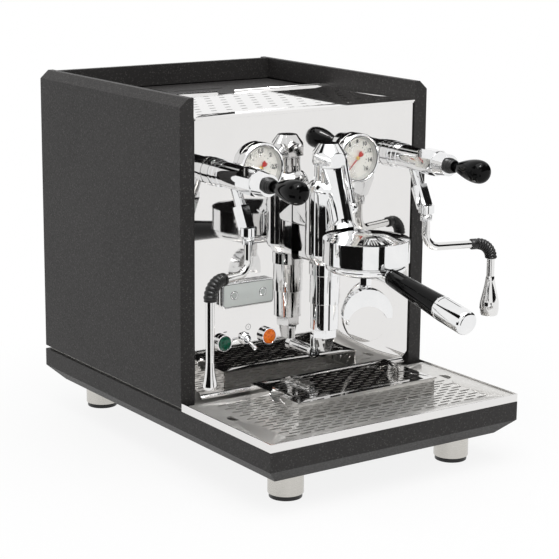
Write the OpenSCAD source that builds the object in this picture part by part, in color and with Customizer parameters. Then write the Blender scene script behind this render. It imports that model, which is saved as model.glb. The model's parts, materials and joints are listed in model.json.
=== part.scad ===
// Espresso machine: a sheet-metal casing on a powder-coated base, a lever group
// with a 58 mm portafilter, two tilt valves with swivelling wands, two gauges,
// two boilers, a rotary pump and a lift-out water tank.
// X runs to the right, Y to the back and Z up, in millimetres. The origin is on
// the floor, on the middle plane, below the front faces of the side walls.

/* [Casing] */
// Width over the side walls
body_w = 335; // [333:1:340]
// Height from the floor to the top edge of the walls
body_h = 413; // [412:1:418]
// Depth of the side walls
side_d = 318; // [318:1:324]
// Width of the hollow side walls
wall_w = 17.5; // [17:0.5:18]
// Thickness of the sheet steel
skin = 1.5; // [1.2:0.1:1.6]
// Width of the bevel along the top edge
edge_w = 10.5; // [8:0.5:12]
// Height of the bevel along the top edge
edge_h = 9.5; // [7:0.5:11]
// Depth of the fold inside the rail around the top
lip_h = 25; // [20:1:25]
// Height of the lower edge of the walls
wall_z = 74; // [74:0.5:76]

/* [Base] */
// How far the base reaches in front of the side walls
base_front = 173; // [170:1:178]
// Height of the top edge of the base
base_top = 70; // [70:0.5:70.5]
// Height where the base starts to taper inward
knee_z = 49; // [46:1:52]
// Height of the underside of the base
base_z = 32; // [32:0.5:33]
// How far the taper goes in
taper = 17.5; // [14:0.5:18]
// Thickness of the base shell
base_skin = 2; // [1.5:0.1:2]
// Diameter of the foot sleeves
foot_d = 39; // [34:1:40]
// Distance of the feet from the middle plane
foot_x = 114; // [108:1:118]
// Distance of the front feet in front of the walls
foot_front = 124; // [118:1:130]
// Distance of the rear feet from the backs of the walls
foot_rear = 45; // [40:1:56]
// Height of the rubber pads
pad_h = 5; // [4:0.5:8]

/* [Front plate] */
// How far the plate sits behind the wall fronts
plate_y = 2; // [2:0.5:2]
// Half width of the plate
plate_x = 148.3; // [146:0.1:148.5]
// Height of the plate's upper edge
plate_top = 388; // [387:0.5:388]
// Height where the plate turns into its lip
plate_z = 85.5; // [85:0.5:86]
// Size of the cut lower corners
plate_cut = 6.5; // [4:0.5:8]

/* [Top] */
// Height of the cup tray
cup_z = 391.5; // [391.5:0.5:392]
// Depth of the cup tray
cup_d = 170; // [168:1:170]
// Length of a slot in the cup tray
cup_slot = 8; // [6:0.5:10]
// Width of a slot in the cup tray
cup_gap = 2.6; // [2:0.1:3]
// Radius of the finger notch
notch_r = 12; // [10:1:13]
// Thickness of the tank lid
lid_t = 2; // [1.5:0.1:2.2]

/* [Drip tray] */
// Height of the polished rim
rim_h = 9.2; // [8.5:0.1:9.5]
// Height of the pan's floor
pan_z = 40; // [38:1:46]
// Length of a slot in the grid
grid_slot = 14; // [12:0.5:15]
// Width of a slot in the grid
grid_gap = 3; // [2.4:0.1:3.4]
// Distance between slots along a row
slot_step = 18.5; // [18:0.5:20]
// Distance between rows of slots
row_step = 7.2; // [7:0.1:8]
// Width of the cup stand
stand_w = 186; // [170:1:190]
// Height of the cup stand above the grid
stand_h = 20; // [16:1:20]
// Front edge of the cup stand
stand_front = 117; // [110:1:120]
// Rear edge of the cup stand
stand_rear = 25.5; // [25:0.5:30]

/* [Group] */
// Distance of the valve column from the wall fronts
column_y = 34; // [34:0.5:35]
// Radius of the group's barrel
barrel_r = 24; // [23:0.5:24]
// Distance of the bell's axis from the wall fronts
bell_y = 108; // [107:0.5:109]
// Outer radius of the bell
bell_r = 47; // [46.5:0.5:48]
// Height of the bell's lower edge
bell_z = 239; // [238:0.5:239]
// Height of the bell's band
bell_h = 25; // [24:0.5:26]
// Lean of the front column in degrees
lean = 18; // [17:0.5:21]
// Radius of the front column at its top
front_r = 12.5; // [11:0.5:12.5]
// Height of the top of the hex cap
cap_top = 358; // [356:0.5:360]
// Height of the lever's shaft
cam_z = 281.5; // [280:0.5:283]
// Radius of the lever's shaft
cam_r = 5; // [4:0.5:5]
// Length of the lever
lever_l = 60; // [50:1:62]

/* [Portafilter] */
// Outer radius of the basket holder
holder_r = 34.8; // [34:0.1:35]
// Inner radius of the filter basket
basket_r = 29; // [28.5:0.1:29]
// Length of the grip
grip_l = 84; // [78:1:90]
// Radius of the grip's wide end
grip_r = 12.6; // [12:0.1:13.5]
// Downward slope of the handle in degrees
droop = 11; // [8:0.5:13]
// Half distance between the two spouts
spout_x = 22; // [19:0.5:23]
// Turn of the spouts about the holder's axis in degrees
spout_turn = 25; // [0:1:30]
// Height of the spout ends
spout_z = 179; // [177:0.5:182]

/* [Valves and wands] */
// Distance of the valves from the middle plane
valve_x = 121; // [119:0.5:122]
// Height of the valves
valve_z = 331; // [330:0.5:332]
// Length of a valve in front of the plate
valve_l = 99; // [97:0.5:101]
// Radius of a valve's body
valve_r = 13.5; // [12.5:0.5:14]
// Largest radius of a knob
knob_r = 13; // [12:0.5:14]
// Forward slope of the outlets in degrees
outlet_lean = 27; // [24:1:30]
// Distance of the wand joints from the wall fronts
joint_y = 61; // [60:0.5:63]
// Height of the wand joints
joint_z = 272; // [271:0.5:273]
// Radius of the wand tubes
tube_r = 4.6; // [4.5:0.1:4.8]
// Radius of the first bend in a wand
bend_r = 16; // [15:0.5:17]
// Radius of the covered bend in a wand
elbow_r = 18; // [17:0.5:20]
// Direction of the steam wand about Z in degrees
steam_turn = 195; // [190:0.5:200]
// Direction of the water wand about Z in degrees
water_turn = -15; // [-20:0.5:-8]

/* [Gauges] */
// Distance of the gauges from the middle plane
gauge_x = 66; // [65:0.5:68]
// Radius of the gauge bezels
bezel_r = 28.5; // [28:0.5:29]
// How far the bezels stand out of the plate
bezel_h = 10; // [9:0.5:11]

/* [Controls] */
// Distance of the controls' middle from the middle plane
panel_x = 83.3; // [82:0.1:86]
// Height of the display box's middle
display_z = 193.4; // [192:0.2:197]
// Width of the display box
display_w = 68; // [60:1:69]
// Height of the display box
display_h = 28; // [26:0.5:30]
// Half distance between the display buttons
button_x = 18.9; // [17:0.1:21]
// Radius of the display buttons
button_r = 3.2; // [2.8:0.1:3.4]
// Half distance between the lamps
lamp_x = 29.7; // [28:0.1:31]
// Height of the lamps
lamp_z = 140; // [139:0.5:142]
// Height of the switch
switch_z = 141; // [140:0.5:144]
// Radius of the cover disc
disc_r = 37; // [35:0.5:37]
// Distance of the cover disc from the middle plane
disc_x = 89; // [87:0.5:90]
// Height of the cover disc
disc_z = 149; // [148:0.5:151]

/* [Inside] */
// Radius of the steam boiler
steam_r = 57; // [54:0.5:57]
// Length of the steam boiler
steam_l = 184; // [170:1:188]
// Radius of the brew boiler
brew_r = 40; // [38:0.5:40]
// Radius of the pump motor
motor_r = 45; // [42:0.5:45]
// Width of the water tank
tank_w = 188; // [180:1:188]
// Distance of the heat shield from the wall fronts
shield_y = 216; // [215:1:218]
// Wall of the water tank
tank_wall = 3; // [2.5:0.1:3.5]

/* [Fits] */
// Clearance between parts that lift apart
loose = 0.3; // [0.3:0.05:0.4]
// Clearance of turning shafts
turning = 0.1; // [0.08:0.01:0.1]

/* [Hidden] */
$fn = 64;

half_w = body_w / 2;
in_x = half_w - wall_w;
floor_z = base_top + skin;
shelf_z = 148;
cup_post = cup_z - skin - loose;
lid_z = 385;
lid_post = lid_z - loose;
post_x = 146;
bay_x = -49.5;
tank_x = 46;
tank_front = shield_y + 6;
tank_back = side_d - 24;
tank_d = tank_back - tank_front;
tank_y = (tank_front + tank_back) / 2;
rear_post = side_d - 20;
tank_bottom = shelf_z + loose;
tank_top = lid_z - loose;
plate_back = plate_y + skin;
grid_z = 76 + loose;
grid_top = grid_z + skin;
stand_z = grid_top + loose;
stand_top = stand_z + stand_h - skin;
boiler_y = 155;
boiler_z = 300;
brew_y = 56;
brew_z = 210;
brew_h = 135;
motor_x = -97;
motor_z = 122;
motor_front = 148;
motor_back = side_d - 32;
saddle_x = 40;
neck_back = 14;
barrel_y = column_y + 2;
barrel_low = 224;
barrel_high = 328;
chamber_z = 139;
nose_z = 123;
drain_x = -4;
drain_z = 118.5;
drain_stem = 19.5;
drain_r = 6.2;
bell_top = bell_z + bell_h;
holder_top = bell_z + 10;
foot_of_column = 62.4;
grip_start = [0, -152, 229.5];
grip_angle = 90 + droop;
cap_l = 44;
lever_x = 36;
knob_y = 147;
stick_pivot = 92;
switch_y = 2;
pivot_dx = 29.9;
pivot_dz = 10.1;
dial_y = -2;
needle_y = -4;

// ---- helpers ------------------------------------------------------------

// Extrudes a shape drawn in X and Z from y0 to y1.
module along_y(y0, y1) {
    translate([0, y1, 0])
        rotate([90, 0, 0])
            linear_extrude(y1 - y0)
                children();
}

// Extrudes a shape drawn in Y and Z from x0 to x1.
module along_x(x0, x1) {
    translate([x0, 0, 0])
        rotate([90, 0, 90])
            linear_extrude(x1 - x0)
                children();
}

// A box between two corners.
module block(low, high) {
    translate(low)
        cube(high - low);
}

// A straight round bar between two points.
module bar(from, to, r) {
    way = to - from;
    length = norm(way);
    translate(from)
        rotate([0, acos(way.z / length), atan2(way.y, way.x)])
            cylinder(r = r, h = length);
}

// A round pipe through a list of points, with a ball fitting at each corner.
module pipe(path, r) {
    for (i = [1:len(path) - 1])
        bar(path[i - 1], path[i], r);
    for (i = [1:len(path) - 2])
        translate(path[i])
            sphere(r = r + 0.8);
}

// A cylinder that points forward from y0 to y1.
module forward(x, z, y0, y1, r1, r2) {
    translate([x, y0, z])
        rotate([90, 0, 0])
            cylinder(r1 = r1, r2 = r2, h = y0 - y1);
}

// A rectangle with round corners, about its middle.
module soft_rect(w, h, r) {
    square([w - 2 * r, h], center = true);
    square([w, h - 2 * r], center = true);
    for (sx = [-1, 1], sy = [-1, 1])
        translate([sx * (w / 2 - r), sy * (h / 2 - r)])
            circle(r = r);
}

// One long slot along X.
module slot(length, gap) {
    square([length - gap, gap], center = true);
    for (side = [-1, 1])
        translate([side * (length - gap) / 2, 0])
            circle(r = gap / 2, $fn = 16);
}

// Staggered rows of slots about the middle of a field.
module slot_field(w, d, length, gap, step_x, step_y) {
    rows = floor((d - gap) / step_y);
    for (row = [0:rows]) {
        shift = (row % 2) * step_x / 2;
        count = floor((w - length - 2 * shift) / step_x);
        for (i = [0:count])
            translate([(i - count / 2) * step_x, (row - rows / 2) * step_y])
                slot(length, gap);
    }
}

// Points of an arc, from one angle to another.
function arc(cx, cy, r, a0, a1, n = 8) =
    [for (i = [0:n]) [cx + r * cos(a0 + (a1 - a0) * i / n), cy + r * sin(a0 + (a1 - a0) * i / n)]];

// ---- casing -------------------------------------------------------------

// Outline of a hollow wall from the front, outer face at x = 0.
module wall_outline() {
    polygon([[0, wall_z], [0, body_h - edge_h], [edge_w, body_h],
        [wall_w, body_h], [wall_w, wall_z]]);
}

// The folded sheet of a wall: outer skin, bevel, top and inner fold.
module wall_sheet() {
    difference() {
        wall_outline();
        polygon([[skin, wall_z - 1], [skin, body_h - edge_h - skin / 2],
            [edge_w + skin / 2, body_h - skin], [wall_w - skin, body_h - skin],
            [wall_w - skin, body_h - lip_h], [wall_w + 1, body_h - lip_h],
            [wall_w + 1, wall_z - 1]]);
    }
}

// A side wall with its outer face at x = 0.
module side_wall() {
    along_y(0, side_d) wall_sheet();
    along_y(0, skin) wall_outline();
    along_y(side_d - skin, side_d) wall_outline();
    block([wall_w - skin, 0, wall_z], [wall_w, 20, body_h]);
}

module left_panel() {
    color("#4a4644")
        translate([-half_w, 0, 0])
            side_wall();
}

module right_panel() {
    color("#4a4644")
        mirror([1, 0, 0])
            translate([-half_w, 0, 0])
                side_wall();
}

// The rear wall between the side walls, with vents and the inlet's opening.
module rear_panel() {
    color("#4a4644")
        difference() {
            along_x(-in_x, in_x)
                translate([side_d, 0])
                    mirror([1, 0])
                        wall_sheet();
            along_y(side_d - skin - 1, side_d + 1) {
                for (group = [-1, 1])
                    translate([group * 70, 340])
                        slot_field(96, 60, 22, 3.2, 30, 9);
                translate([92, 112])
                    square([48.4, 28.4], center = true);
            }
            for (sx = [-1, 1], z = [90, 215, 330])
                translate([sx * (in_x - 8), side_d + 1, z])
                    rotate([90, 0, 0])
                        cylinder(r = 2, h = skin + 2);
        }
}

// The base from outside, or its inside when grow is negative.
module base_form(grow) {
    intersection() {
        along_y(-base_front - grow, side_d + grow)
            polygon([[-half_w - grow, base_top + 1 + grow], [-half_w - grow, knee_z],
                [-half_w + taper - grow, base_z - grow], [half_w - taper + grow, base_z - grow],
                [half_w + grow, knee_z], [half_w + grow, base_top + 1 + grow]]);
        along_x(-half_w - grow, half_w + grow)
            polygon([[-base_front - grow, base_top], [-base_front - grow, knee_z],
                [-base_front + taper - grow, base_z - grow], [side_d - taper + grow, base_z - grow],
                [side_d + grow, knee_z], [side_d + grow, base_top]]);
    }
}

// The base: an open shell with a ledge for the chassis in its rear part.
module base_pan() {
    color("#4a4644") {
        difference() {
            base_form(0);
            base_form(-base_skin);
            block([-half_w + base_skin, -base_front + base_skin, knee_z],
                [half_w - base_skin, side_d - base_skin, base_top + 2]);
            for (i = [-4:4])
                translate([i * 22, 190, base_z - 1])
                    linear_extrude(base_skin + 2)
                        rotate(90)
                            slot(70, 6);
        }
        difference() {
            block([-half_w + base_skin, 0, base_top - 2], [half_w - base_skin, side_d - base_skin, base_top]);
            block([-in_x, 14, base_top - 3], [in_x, side_d - 20, base_top + 1]);
        }
    }
}

// The four foot centres.
feet = [[-foot_x, -foot_front], [foot_x, -foot_front], [-foot_x, side_d - foot_rear],
    [foot_x, side_d - foot_rear]];

module foot_sleeves() {
    color("#b9b9b7")
        for (at = feet)
            translate([at.x, at.y, pad_h])
                cylinder(r = foot_d / 2, h = base_z - pad_h);
}

module foot_pads() {
    color("#202020")
        for (at = feet)
            translate([at.x, at.y, 0]) {
                cylinder(r = foot_d / 2 - 1.5, h = pad_h);
            }
}

// A folded corner post with its outer corner at the origin, opening towards +X and +Y.
module post(top) {
    block([0, 0, floor_z], [skin, 15, top]);
    block([0, 0, floor_z], [15, skin, top]);
}

// Floor sheet, posts, heat shield, tank shelf and boiler saddles.
module chassis_frame() {
    color("#9a9c9c") {
        block([-half_w + 5, 3, base_top], [half_w - 5, side_d - 3, floor_z]);
        difference() {
            block([-half_w + 5, 3, floor_z], [half_w - 5, side_d - 3, wall_z]);
            block([-half_w + 9, 7, floor_z - 1], [half_w - 9, side_d - 7, wall_z + 1]);
        }
        for (side = [0, 1])
            mirror([side, 0, 0]) {
                translate([-post_x, 26, 0])
                    mirror([0, 1, 0])
                        post(cup_post);
                translate([-post_x, 140, 0])
                    mirror([0, 1, 0])
                        post(cup_post);
                translate([-post_x, rear_post, 0])
                    mirror([0, 1, 0])
                        post(lid_post);
            }
        along_y(shield_y, shield_y + skin)
            difference() {
                translate([bay_x, floor_z])
                    square([144 - bay_x, 380 - floor_z]);
                translate([tank_x, 96])
                    circle(r = 7);
            }
        block([bay_x, shield_y + skin, shelf_z - skin], [144, rear_post, shelf_z]);
        block([bay_x, shield_y + skin, floor_z], [bay_x + skin, rear_post, shelf_z - skin]);
        block([144 - skin, shield_y + skin, floor_z], [144, rear_post, shelf_z - skin]);
        for (side = [-1, 1])
            along_x(side * (saddle_x + 1) - 1, side * (saddle_x + 1) + 1)
                difference() {
                    polygon([[20, floor_z], [20, brew_z - 2], [104, brew_z - 2], [112, 262],
                        [198, 262], [198, floor_z]]);
                    translate([boiler_y, boiler_z])
                        circle(r = steam_r);
                    translate([60, 84])
                        square([90, 80]);
                }
        block([-saddle_x - 2, 14, brew_z - 2], [saddle_x + 2, 100, brew_z]);
        block([-145, 7, floor_z], [145, 7 + skin, 108]);
    }
}

// The polished front plate with its rolled lower lip and all its openings.
module front_plate() {
    color("#d9dadb") {
        along_y(plate_y, plate_back)
            difference() {
                polygon([[-plate_x, plate_top], [-plate_x, plate_z + plate_cut],
                    [-plate_x + plate_cut, plate_z], [plate_x - plate_cut, plate_z],
                    [plate_x, plate_z + plate_cut], [plate_x, plate_top]]);
                translate([0, 263])
                    soft_rect(41.6, 81.6, 6.3);
                for (side = [-1, 1]) {
                    translate([side * valve_x, valve_z])
                        circle(r = 8 + turning);
                    translate([side * gauge_x, valve_z])
                        circle(r = bezel_r - 2.3);
                    translate([-panel_x + side * lamp_x, lamp_z])
                        circle(r = 5.2);
                }
                translate([-panel_x, switch_z])
                    circle(r = 5.7);
                translate([-panel_x, display_z])
                    circle(r = 5);
                translate([drain_x, drain_z])
                    circle(r = drain_r + 0.2);
                translate([disc_x, disc_z])
                    circle(r = 15);
                translate([disc_x - pivot_dx, disc_z - pivot_dz])
                    circle(r = 1.5);
            }
        along_x(-plate_x + plate_cut, plate_x - plate_cut)
            polygon(concat(arc(-plate_y, plate_z, plate_back + plate_y, 0, -90),
                arc(-plate_y, plate_z, 2 * plate_y, -90, 0)));
        for (side = [-1, 1])
            block([side * plate_x - (side + 1) / 2 * skin, plate_back, plate_z + plate_cut],
                [side * plate_x - (side - 1) / 2 * skin, plate_back + 4, plate_top]);
    }
}

// ---- top ----------------------------------------------------------------

module cup_tray() {
    color("#d5d6d7") {
        difference() {
            block([-in_x + loose, 0, cup_z - skin], [in_x - loose, cup_d, cup_z]);
            translate([0, cup_d / 2, cup_z - skin - 1])
                linear_extrude(skin + 2)
                    slot_field(2 * in_x - 14, cup_d - 22, cup_slot, cup_gap, 20, 18.5);
            translate([0, cup_d, cup_z - skin - 1])
                cylinder(r = notch_r, h = skin + 2);
        }
        block([-plate_x, 0, plate_top + loose], [plate_x, skin, cup_z - skin]);
        difference() {
            block([-in_x + loose, cup_d - skin, cup_z], [in_x - loose, cup_d, cup_z + 2.5]);
            translate([0, cup_d, cup_z - 1])
                cylinder(r = notch_r, h = 5);
        }
    }
}

module tank_lid() {
    color("#4a4644")
        difference() {
            union() {
                block([-in_x + 2, cup_d + 2, lid_z], [in_x - 2, side_d - wall_w - 2, lid_z + lid_t]);
                block([-40, tank_y - 20, lid_z + lid_t], [40, tank_y + 20, lid_z + lid_t + 0.8]);
            }
            translate([0, cup_d, lid_z - 1])
                cylinder(r = notch_r, h = lid_t + 3);
        }
}

// The tank: an open box with round corners, a rolled rim and an outlet hole.
module water_tank() {
    color("#c9d4d8", 0.6)
        translate([tank_x, tank_y, 0]) {
            difference() {
                translate([0, 0, tank_bottom])
                    linear_extrude(tank_top - tank_bottom)
                        soft_rect(tank_w, tank_d, 12);
                translate([0, 0, tank_bottom + tank_wall])
                    linear_extrude(tank_top)
                        soft_rect(tank_w - 2 * tank_wall, tank_d - 2 * tank_wall, 12 - tank_wall);
                translate([0, 0, tank_bottom - 1])
                    cylinder(r = 6, h = tank_wall + 2);
            }
        }
}

// The spring valve under the tank, with the probe that opens it.
module tank_valve() {
    color("#c8a24a")
        translate([tank_x, tank_y, 0]) {
            translate([0, 0, shelf_z - skin - 14])
                cylinder(r = 11, h = 14);
            translate([0, 0, shelf_z])
                cylinder(r = 5.5, h = 9);
        }
}

// ---- drip tray ----------------------------------------------------------

// The tray: a polished rim, a ledge for the grid and a deep pan below.
module drip_tray() {
    color("#d5d6d7") {
        difference() {
            block([-half_w, -base_front, base_top + loose], [half_w, -0.8, base_top + loose + rim_h]);
            block([-half_w + skin, -base_front + skin, base_top - 1], [half_w - skin, 1, body_h]);
        }
        difference() {
            block([-half_w + skin, -base_front + skin, 76 - skin], [half_w - skin, -8, 76]);
            block([-in_x - 2, -base_front + 14, 70], [in_x + 2, -18, 80]);
        }
        difference() {
            block([-in_x - 2, -base_front + 14, pan_z], [in_x + 2, -18, 76]);
            block([-in_x - 2 + skin, -base_front + 14 + skin, pan_z + skin], [in_x + 2 - skin, -18 - skin, 80]);
        }
    }
}

// The slotted grid with its two finger holes.
module drip_grid() {
    color("#a9aaab")
        difference() {
            block([-half_w + skin + 0.5, -base_front + skin + 0.5, grid_z],
                [half_w - skin - 0.5, -8, grid_top]);
            translate([0, -base_front / 2 - 4, grid_z - 1])
                linear_extrude(skin + 2)
                    slot_field(2 * in_x - 18, base_front - 34, grid_slot, grid_gap, slot_step, row_step);
            for (side = [-1, 1])
                translate([side * (in_x - 6), -72, grid_z - 1])
                    linear_extrude(skin + 2)
                        difference() {
                            circle(r = 9);
                            translate([-side * 10, 0])
                                square([20, 30], center = true);
                        }
        }
}

// The raised cup stand: a slotted top with folded sides.
module cup_stand() {
    w = stand_w / 2;
    color("#a9aaab")
        difference() {
            union() {
                block([-w, -stand_front, stand_top - skin], [w, -stand_rear, stand_top]);
                block([-w, -stand_front, stand_z], [w, -stand_front + skin, stand_top - skin]);
                for (side = [-1, 1])
                    block([side * w - (side + 1) / 2 * skin, -stand_front + skin, stand_z],
                        [side * w - (side - 1) / 2 * skin, -stand_rear, stand_top - skin]);
            }
            translate([0, -(stand_front + stand_rear) / 2, stand_top - skin - 1])
                linear_extrude(skin + 2)
                    slot_field(stand_w - 16, stand_front - stand_rear - 12,
                        grid_slot, grid_gap, slot_step, row_step);
            translate([-w - 1, -72, stand_top])
                rotate([0, 90, 0])
                    cylinder(r = 10, h = 5);
            translate([-w, -72, stand_top - skin - 1])
                cylinder(r = 10, h = skin + 2);
        }
}

// ---- group --------------------------------------------------------------

// The upright barrel of the casting, turned about its own axis.
module barrel() {
    rotate_extrude()
        polygon(concat([[0, barrel_low], [17, barrel_low]],
            arc(barrel_r - 9, barrel_low + 12, 9, -60, 0, 5),
            arc(barrel_r - 16, 303, 16, 0, 62, 6),
            [[14.5, barrel_high - 3], [14.5, cap_top - 24], [0, cap_top - 24]]));
}

// The whole casting: neck, barrel, front column and bell.
module group_body() {
    color("#d2d4d6")
        difference() {
            union() {
                along_y(-barrel_y, neck_back) {
                    translate([0, 282.5])
                        soft_rect(40, 40, 6);
                    translate([0, 248])
                        soft_rect(32, 48, 6);
                }
                translate([0, -barrel_y, 0])
                    barrel();
                translate([0, -foot_of_column, 266])
                    rotate([-lean, 0, 0]) {
                        cylinder(r1 = 17.5, r2 = 14.9, h = 5);
                        translate([0, 0, 5])
                            cylinder(r1 = 14.9, r2 = front_r, h = 70);
                    }
                translate([0, -bell_y, bell_z])
                    cylinder(r = bell_r, h = bell_h);
                translate([0, -bell_y, bell_top])
                    cylinder(r1 = bell_r - 1, r2 = 20, h = 6);
                block([-15, -76, bell_z + 3], [15, -barrel_y, 267]);
                translate([0, -column_y, cam_z])
                    rotate([0, 90, 0])
                        cylinder(r = 11.5, h = 25);
            }
            block([-22, -64, cap_top - 26 - loose], [22, -10, cap_top]);
            translate([0, -bell_y, bell_z - 1])
                cylinder(r = holder_r + 1.7, h = 20);
            translate([0, -bell_y, bell_z + 4])
                cylinder(r = 42.2, h = 15);
            for (side = [0, 180])
                translate([0, -bell_y, bell_z - 1])
                    rotate([0, 0, side - 50 - 19])
                        rotate_extrude(angle = 38)
                            translate([30, 0])
                                square([11.8, 8]);
            translate([12, -column_y, cam_z])
                rotate([0, 90, 0])
                    cylinder(r = cam_r + turning, h = 14);
            translate([0, neck_back + 1, 266])
                rotate([90, 0, 0])
                    cylinder(r = 5, h = 50);
        }
}

// The hex cap above the barrel: six flats below a six-sided taper.
module group_cap() {
    color("#d2d4d6")
        translate([0, -column_y - 3.5, cap_top - 26]) {
            cylinder(r = 15.4, h = 3);
            translate([0, 0, 3])
                cylinder(r = 20.2, h = 10, $fn = 6);
            translate([0, 0, 13])
                intersection() {
                    cylinder(r = 20.2, h = 13, $fn = 6);
                    cylinder(r1 = 20.4, r2 = 11, h = 13);
                }
        }
}

// The lower infusion chamber in three turned steps above a six-sided nose.
module infusion_chamber() {
    color("#d2d4d6")
        translate([0, -column_y, 0]) {
            translate([0, 0, 211])
                cylinder(r = 18, h = barrel_low - 211);
            translate([0, 0, 178.6])
                cylinder(r = 17, h = 32.4);
            translate([0, 0, 149])
                cylinder(r = 15.8, h = 29.6);
            translate([0, 0, chamber_z])
                cylinder(r = 14.6, h = 10, $fn = 6);
            translate([0, 0, nose_z])
                cylinder(r1 = 8, r2 = 12.2, h = chamber_z - nose_z, $fn = 6);
        }
}

// The drain under the chamber, with its open mouth to the front.
module drain_outlet() {
    color("#d2d4d6")
        difference() {
            union() {
                translate([drain_x, -drain_stem, drain_z])
                    cylinder(r = 3.8, h = chamber_z - drain_z);
                forward(drain_x, drain_z, 10, -17, drain_r, drain_r);
                forward(drain_x, drain_z, -16, -22, drain_r + 0.4, drain_r + 1.3);
            }
            forward(drain_x, drain_z, -12, -23, 3.5, 5);
        }
}

module cam_gland() {
    color("#c4c6c8")
        difference() {
            translate([25, -column_y, cam_z])
                rotate([0, 90, 0])
                    cylinder(r = 10.5, h = 5.6, $fn = 6);
            translate([24, -column_y, cam_z])
                rotate([0, 90, 0])
                    cylinder(r = cam_r + turning, h = 10);
        }
}

// The lever with its shaft, hub, ringed arm and end ball.
module group_lever() {
    color("#d2d4d6") {
        translate([14, -column_y, cam_z])
            rotate([0, 90, 0])
                cylinder(r = cam_r, h = lever_x - 14);
        translate([lever_x, -column_y, cam_z]) {
            sphere(r = 6.6);
            rotate([-18, 0, 0]) {
                cylinder(r1 = 5, r2 = 4, h = lever_l);
                translate([0, 0, 17])
                    cylinder(r = 5.4, h = 3);
                translate([0, 0, lever_l])
                    sphere(r = 5.4);
            }
        }
    }
}

module group_seal() {
    color("#1d1d1d")
        translate([0, -bell_y, bell_z + 11.6])
            difference() {
                cylinder(r = 36, h = 7.4);
                translate([0, 0, -1])
                    cylinder(r = 28.6, h = 10);
            }
}

module shower_screen() {
    color("#b4b6b8")
        translate([0, -bell_y, 0])
            difference() {
                translate([0, 0, bell_z + 11.6])
                    cylinder(r = 28.6, h = 7.4);
                translate([0, 0, bell_z + 13])
                    cylinder(r = 27, h = 7);
                for (a = [0:30:330])
                    rotate([0, 0, a])
                        translate([20, 0, bell_z + 10])
                            cylinder(r = 1, h = 5);
            }
}

// ---- portafilter --------------------------------------------------------

// The basket holder: bowl, collar, two locking ears and the arm.
module portafilter() {
    color("#d2d4d6")
        difference() {
            union() {
                translate([0, -bell_y, 0]) {
                    rotate_extrude()
                        polygon(concat([[0, 222], [14, 222]],
                            arc(22, 238, 14, -55, 0, 5),
                            [[36, 238], [holder_r, 240], [holder_r, holder_top], [0, holder_top]]));
                    rotate_extrude()
                        polygon(concat([[30, 229]],
                            arc(39.5, 233.8, 4.4, -90, 80, 6),
                            [[30, 238.4]]));
                    for (side = [0, 180])
                        rotate([0, 0, side - 15])
                            rotate_extrude(angle = 30)
                                translate([holder_r - 1, bell_z + 4.6])
                                    square([41.4 - holder_r + 1, 4.6]);
                }
                translate([0, -136, 232.6])
                    rotate([grip_angle, 0, 0])
                        cylinder(r1 = 9.5, r2 = 8, h = 16.2);
                translate([0, -bell_y, 213])
                    cylinder(r = 7, h = 10, $fn = 6);
            }
            block([-12, -162, bell_z - 0.4], [12, -144.2, bell_z + 8]);
            translate([0, -bell_y, 226])
                cylinder(r = 31, h = 30);
            translate([0, -bell_y, 212])
                cylinder(r = 3.5, h = 20);
        }
}

module filter_basket() {
    color("#b4b6b8")
        translate([0, -bell_y, 0])
            difference() {
                union() {
                    translate([0, 0, holder_top])
                        cylinder(r = 34, h = 1.1);
                    translate([0, 0, 228])
                        cylinder(r = basket_r + 0.9, h = holder_top - 228);
                }
                translate([0, 0, 229])
                    cylinder(r = basket_r, h = 30);
                for (a = [0:45:315], r = [10, 20])
                    rotate([0, 0, a])
                        translate([r, 0, 227])
                            cylinder(r = 0.9, h = 3, $fn = 16);
            }
}

// Places its children with +Z along the handle, out from the holder.
module on_handle() {
    translate(grip_start)
        rotate([grip_angle, 0, 0])
            children();
}

module handle_grip() {
    color("#131313")
        on_handle() {
            cylinder(r1 = 8.8, r2 = 10.2, h = 6);
            translate([0, 0, 6])
                cylinder(r1 = 10.2, r2 = grip_r, h = grip_l - 6);
        }
}

module handle_cap() {
    color("#d2d4d6")
        on_handle()
            translate([0, 0, grip_l]) {
                cylinder(r = grip_r + 0.3, h = cap_l - 3);
                translate([0, 0, cap_l - 3])
                    cylinder(r1 = grip_r + 0.3, r2 = grip_r - 2, h = 3);
            }
}

// The twin spout: a crescent below a round boss, bored through.
module double_spout() {
    color("#d2d4d6")
        translate([0, -bell_y, 0])
            rotate([0, 0, -spout_turn]) {
                difference() {
                    union() {
                        cylinder_at(0, 0, 205, 213, 6.4);
                        block([-6, -16, 203], [6, 0, 209]);
                        along_y(-16, -4)
                            intersection() {
                                difference() {
                                    translate([0, 184])
                                        circle(r = 27);
                                    translate([0, 170])
                                        circle(r = 22.5);
                                }
                                translate([-30, spout_z])
                                    square([60, 40]);
                            }
                    }
                    for (side = [-1, 1])
                        translate([side * spout_x, -10, spout_z - 1])
                            cylinder(r = 3, h = 17);
                    translate([-spout_x, -10, 198])
                        rotate([0, 90, 0])
                            cylinder(r = 2.5, h = 2 * spout_x);
                    cylinder_at(0, 0, 204, 214, 3);
                }
            }
}

// An upright cylinder between two heights.
module cylinder_at(x, y, z0, z1, r) {
    translate([x, y, z0])
        cylinder(r = r, h = z1 - z0);
}

// ---- valves and wands ---------------------------------------------------

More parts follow.
